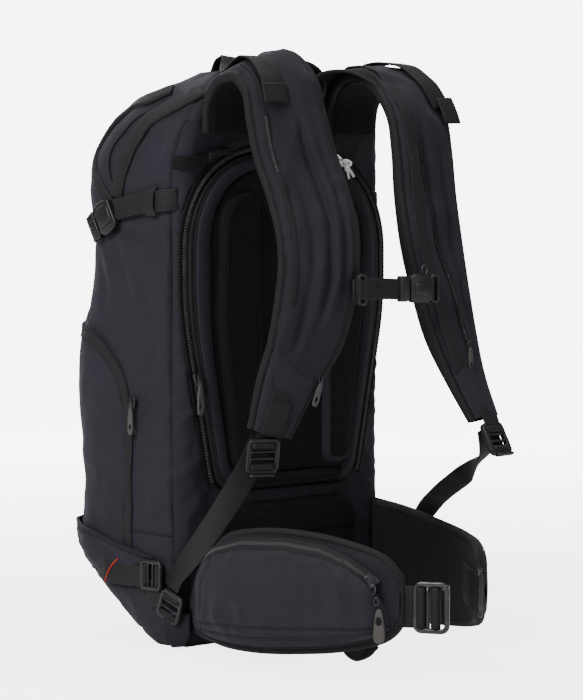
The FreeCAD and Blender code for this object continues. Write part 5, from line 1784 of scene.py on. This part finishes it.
# ---- side straps ---------------------------------------------------------------------------------------
COMPRESS = [(3, 436), (20, 434), (48, 431.5), (79, 426)]
SOCKET_ALONG, SOCKET_UP = (0.0, 0.87, -0.49), (0.0, 0.49, 0.87)
SOCKET_X = 152.2
for side in (-1, 1):
    label = "right" if side < 0 else "left"
    strap_piece, *_ = surface_tape("compression_strap_" + label, side_rows(COMPRESS, side), 21.0,
                                   [2.0, 5.4, 6.2, 6.4], 2.0, "webbing", count=60, taut=True)
    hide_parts("compression_webbing_" + label)
    keeper_rows = [(float(side_w(28, z, side)), z) for z in (420.5, 422.5, 434, 446, 448)]
    surface_tape("compression_keeper_" + label, keeper_rows, 15.0, [3.6, 7.8, 8.4, 7.8, 3.6], 2.0, "webbing",
                 count=44, taut=True)
    surface_tape("compression_anchor_" + label, side_rows([(110, 409), (116, 405), (123, 402)], side), 17.0,
                 [5.0, 3.8, 1.6], 2.0, "webbing", count=30)
    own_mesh(strap_piece)
    out_x = side * SOCKET_X
    body_outline = [(-12, -13), (-12, 13), (-8, 15.5), (2, 17), (8, 16), (12, 12), (12, -12), (8, -16),
                    (2, -17),
                    (-8, -15.5)]
    ridge = [(-9, -7.5), (-9, 7.5), (9, 8.5), (9, -8.5)]
    groove_low = [(-6.5, 10), (6.5, 10.5), (6.5, 12.5), (-6.5, 12)]
    groove_high = [(x, -z) for x, z in groove_low]
    part = merged([plate(body_outline, 7.0), plate(ridge, 9.4), plate(groove_low, 8.6),
                   plate(groove_high, 8.6)])
    hard("side_socket_" + label, part, (out_x, 91, 419), SOCKET_ALONG, SOCKET_UP, "plastic",
         "compression_" + label, 1.1, "compression_socket_" + label)
    root = [(-5.5, -15), (-5.5, 15), (5.5, 12.5), (5.5, -12.5)]
    prong = [(-15, -11), (-15, -7), (-5, -7), (-5, -11)]
    prongs = [plate(root, 5.4), plate(prong, 3.6), plate([(x, -z) for x, z in prong], 3.6)]
    for z in (-6.0, 0.0, 6.0):
        prongs.append(plate([(-4, z - 1), (-4, z + 1), (4.5, z + 1), (4.5, z - 1)], 7.0))
    tongue_piece = hard("side_tongue_" + label, merged(prongs), (out_x, 109, 409), SOCKET_ALONG, SOCKET_UP,
                        "plastic", "pack", 0.9)
    if side < 0:
        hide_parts("compression_tongues")
    lower_piece, *_ = surface_tape("lower_strap_" + label,
                                   side_rows([(108, 73), (90, 70), (60, 68), (38, 69)], side), 21.0,
                                   [1.0, 7.4, 6.4, 5.0, 4.2], 2.0, "webbing", count=50)
    surface_tape("lower_strap_tail_" + label, side_rows([(26, 66), (24, 52), (21, 40)], side), 20.0,
                 [4.0, 2.6, 1.4], 2.0, "webbing", count=24)
    red, *_ = surface_tape("accent_line_" + label, side_rows([(73, 83), (83, 71), (89, 59)], side), 1.6,
                           [7.6, 8.6, 7.6], 1.6, "accent", count=30)
    if side < 0:
        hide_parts("lower_webbing")
        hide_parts("accent_loops")


# ---- sternum strap ------------------------------------------------------------------------------------
STERNUM_ACROSS = unit(np.array([0.995, -0.098, 0.0]))
STERNUM_AT = np.array([-50.0, -158.0, 350.0])


def sternum(reach, y=0.0, z=0.0):
    """Point at a reach along the sternum strap, with y inward."""
    inward = np.cross([0.0, 0.0, 1.0], STERNUM_ACROSS)
    return STERNUM_AT + STERNUM_ACROSS * reach + inward * y + np.array([0.0, 0.0, z])


UP = (0, 0, 1)
right_slider = hoop("sternum_loop_right", sternum(0), STERNUM_ACROSS, UP, 11, 30, 2.0, 3.0, 7.0, "plastic",
                    "sternum_right")
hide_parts("sternum_slider_right")
web = band("sternum_strap", [sternum(x, 0.5 * math.sin(x / 9), 0.4 * math.sin(x / 13))
                             for x in range(-10, 52, 6)], UP, 20,
           2.0, "webbing", "sternum_tongue", count=40)
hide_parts("sternum_webbing")
fold = band("sternum_strap_fold", [sternum(x, -2.2) for x in (-7, 0, 8, 17)], UP, 20, 2.0, "webbing",
            "sternum_tongue", count=16)
tongue_outline = [(0, -12.5), (0, 12.5), (8, 12.5), (12, 9), (12, -9), (8, -12.5)]
hard("sternum_insert", merged([plate(tongue_outline, 7.0),
                               plate([(12, -6), (12, 6), (24, 4.5), (24, -4.5)], 3.0)]),
     sternum(48), STERNUM_ACROSS, UP, "plastic", "sternum_tongue", 1.0, "sternum_tongue")
socket_outline = [(0, -11), (0, 11), (4, 13.5), (20, 14), (26, 11), (26, -11), (20, -14), (4, -13.5)]
hard("sternum_clasp", merged([plate(socket_outline, 9.0),
                              plate([(5, -6), (5, 6), (20, 6.5), (20, -6.5)], 11.4)]),
     sternum(61), STERNUM_ACROSS, UP, "plastic", "sternum_left", 1.4, "sternum_socket")
left_slider = hoop("sternum_loop_left", sternum(93.2), STERNUM_ACROSS, UP, 11, 28, 2.5, 2.6, 5.5, "metal",
                   "sternum_left")
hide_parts("sternum_slider_left")
link("sternum_lanyard", sternum(80, -1, 18), STERNUM_ACROSS, 3.4, 0.9, "sternum_left", 1.3)


# ---- hip buckle ----------------------------------------------------------------------------------------
RIGHT_TIP, RIGHT_ALONG = np.array([-110.0, -266.0, 66.0]), unit(np.array([0.45, -0.89, 0.0]))
LEFT_TIP, LEFT_ALONG = np.array([94.0, -182.0, 54.0]), unit(np.array([-0.74, -0.67, 0.0]))
frame_at = RIGHT_TIP + RIGHT_ALONG * 28
parts = [hoop("hip_frame", frame_at, RIGHT_ALONG, UP, 34, 47, 5.5, 4.6, 5.0, "metal", "hip_buckle_frame"),
         rod("hip_frame", frame_at, RIGHT_ALONG, UP, -3, -21, -3, 21, 3.6, 4.6, "metal", "hip_buckle_frame")]
hip_frame = join("hip_frame", parts)
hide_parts("hip_buckle_frame")
hard("hip_frame_lip", plate([(-3, -2.4), (-3, 2.4), (3, 2.4), (3, -2.4)], 6.4), frame_at + RIGHT_ALONG * 13.6
             + np.array([0, 0, 19]), RIGHT_ALONG, UP, "metal", "hip_buckle_frame", 0.8)
rolls = []
for x in (-9.5, 4.2):
    ends = [frame_at + RIGHT_ALONG * x + np.array([0, 0, z]) for z in (-18.5, 18.5)]
    rolls.append(tube("hip_frame_webbing", ends, 4.6, "webbing", "hip_buckle_frame", sides=16, count=8))
roll_piece = join("hip_frame_webbing", rolls)
web_right = band("hip_strap_right", [RIGHT_TIP + RIGHT_ALONG * x for x in (-14, -4, 4, 13)], UP, 38, 2.6,
                 "webbing", "hip_wing_right", count=20)
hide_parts("hip_webbing_right")
left_inside = [wing_point(WING_L, share, 54.0, -off) for share,
               off in ((0.74, 13.0), (0.82, 12.6), (0.9, 11.6), (0.97, 9.5))]
web_left = band("hip_strap_left", left_inside + [LEFT_TIP + LEFT_ALONG * x for x in (8, 15)], UP, 38, 2.6,
                "webbing", "hip_wing_left", count=24)
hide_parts("hip_webbing_left")
ladder_at = LEFT_TIP + LEFT_ALONG * 27
parts = [hoop("hip_hook", ladder_at, LEFT_ALONG, UP, 27, 47, 4.0, 4.4, 5.0, "metal", "hip_buckle_ladder"),
         rod("hip_hook", ladder_at, LEFT_ALONG, UP, -1, -21, -1, 21, 3.4, 4.6, "metal", "hip_buckle_ladder")]
hip_hook = join("hip_hook", parts)
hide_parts("hip_buckle_ladder")
hook_roll = tube("hip_hook_webbing", [ladder_at + LEFT_ALONG * -7 + np.array([0, 0, z])
                                      for z in (-18.5, 18.5)], 4.4,
                 "webbing", "hip_buckle_ladder", sides=16, count=8)

# folded webbing loop under the right wing
loop_route = [(-121, -207, 27), (-119, -211, 21), (-116, -218, 17), (-113, -226, 20), (-110, -233, 27)]
leg = band("leg_strap", loop_route, (0.75, 0.15, 0.65), 15, 2.0, "webbing", "leg_loop", count=40)
leg_second = band("leg_strap_fold", [(x + 4, y + 1, z + 1) for x, y, z in loop_route], (0.6, 0.2, 0.75), 15,
                  2.0, "webbing", "leg_loop", count=40, wave=0.6)
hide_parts("leg_loop")


# ---- carrying handle and yoke --------------------------------------------------------------------------
handle_route = [(-35, -18, 541), (-36, -20, 556), (-31, -22, 568), (-17, -24, 574), (0, -24.5, 573),
                (16, -24, 569),
                (28, -22.5, 562), (34, -21, 552), (35, -18, 541)]
handle = band("carry_handle", handle_route, (0, 1, 0), 17, 3.4, "webbing", "grab_handle", count=70)
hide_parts("grab_handle")


def yoke(name, strap, inner_x, steps):
    """Mesh lining that widens from the underside of a strap towards the middle of the back."""
    side = 1 if strap.points[0][0] > 0 else -1
    rows = []
    for index in range(steps):
        share = index / (steps - 1)
        reach = np.linspace(inner_x + (strap.points[index][0] - side * 30 - inner_x) * share ** 2.2,
                            strap.points[index][0] - side * (strap.width[index] / 2 - 5), 26)
        base = strap.points[index] + strap.out[index] * (strap.thick[index] * 0.34)
        row = np.column_stack([reach, np.full(26, base[1]), np.full(26, base[2])])
        sag = np.clip((strap.points[index][0] - side * 30 - reach) * side, 0, 40) / 40
        row[:, 2] -= 5 * sag ** 1.5 * rise(index, 12, steps)
        row[:, 1] += 3.0 * sag
        rows.append(row)
    grid = np.array(rows)
    piece = sheet_grid(name, grid, "mesh", "pack", thickness=1.6)
    hem = tube(name + "_edge", grid[:, 0], 1.8, "binding", "pack", count=60)


yoke("yoke_left", LEFT, 12, 50)
yoke("yoke_right", RIGHT, -14, 40)
mesh_x, mesh_z = np.meshgrid(np.linspace(-66, 66, 60), np.linspace(501, 548, 24))
mesh_y = back_y(mesh_x, mesh_z) - 3.6 - 1.5 * np.sin(math.pi * (mesh_z - 501) / 47)
neck = sheet_grid("neck_mesh", np.stack([mesh_x, mesh_y, mesh_z], axis=-1), "mesh", "pack")

# sewn patch over the right lifter and the end tab of the left one
lift_along = unit(np.array(LIFTER_RIGHT[-1]) - np.array(LIFTER_RIGHT[-2]))
box_patch("lifter_patch_right", LIFTER_RIGHT[-1] + RIGHT.out[44] * 2.0, turned(-12), lift_along, 26, 19, 2.6,
          "webbing", "pack")
tail_left = band("lifter_tail_left", LEFT.line([0.9, 0.93], 6.0, 50, 60)[::3] + np.array([3.0, 0, 2]),
                 (1, 0, 0), 23, 2.6, "webbing", "pack", count=14)


# ---- inside ----------------------------------------------------------------------------------------------
# CAD nodes that show as they are
for node, material in (("inflation_unit", "metal"), ("gas_cartridge", "steel"), ("frame_hoop", "alloy"),
                       ("release_cable", "plastic"), ("release_handle", "red"),
                       ("door_stiffener", "plastic")):
    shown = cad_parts[node]
    shown.data.materials.clear()
    shown.data.materials.append(MATERIALS[material])


def folded_airbag():
    """Airbag packed in flat pleats."""
    low, high = np.array([-98.0, 24, 435]), np.array([66.0, 104, 503])
    centre, half = (low + high) / 2, (high - low) / 2
    rows, columns = 60, 120
    theta = np.linspace(-math.pi / 2, math.pi / 2, rows)[:, None]
    phi = np.linspace(0, 2 * math.pi, columns, endpoint=False)[None]

    def sharpen(value):
        return np.sign(value) * np.abs(value) ** 0.32

    x = sharpen(np.cos(theta)) * sharpen(np.cos(phi))
    y = sharpen(np.cos(theta)) * sharpen(np.sin(phi))
    z = sharpen(np.sin(theta)) + 0 * phi
    points = centre + np.stack([x, y, z], axis=-1) * (half - 1.5)
    pleat = 1.2 * np.sin(points[..., 2] / 2.6 + 0.6 * noise(points, 40.0))
    points = points + unit(points - centre) * (pleat + 0.8 * noise(points, 18.0))[..., None]
    obj = sheet_grid("airbag_pleats", points, "airbag", "pack", points[..., [0, 2]], ring=True)
    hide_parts("airbag_folded")


folded_airbag()
shelf_x, shelf_y = np.meshgrid(np.linspace(-126, 126, 80), np.linspace(21, 122, 40))
shelf_z = 425.5 - 1.2 * np.cos(shelf_x / 126 * math.pi / 2) + 0.4 * noise(np.stack([shelf_x, shelf_y,
                                                                                    0 * shelf_x], -1), 22.0)
shelf = sheet_grid("shelf_cloth", np.stack([shelf_x, shelf_y, shelf_z], axis=-1), "lining", "pack",
                   thickness=1.6)
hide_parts("airbag_shelf")
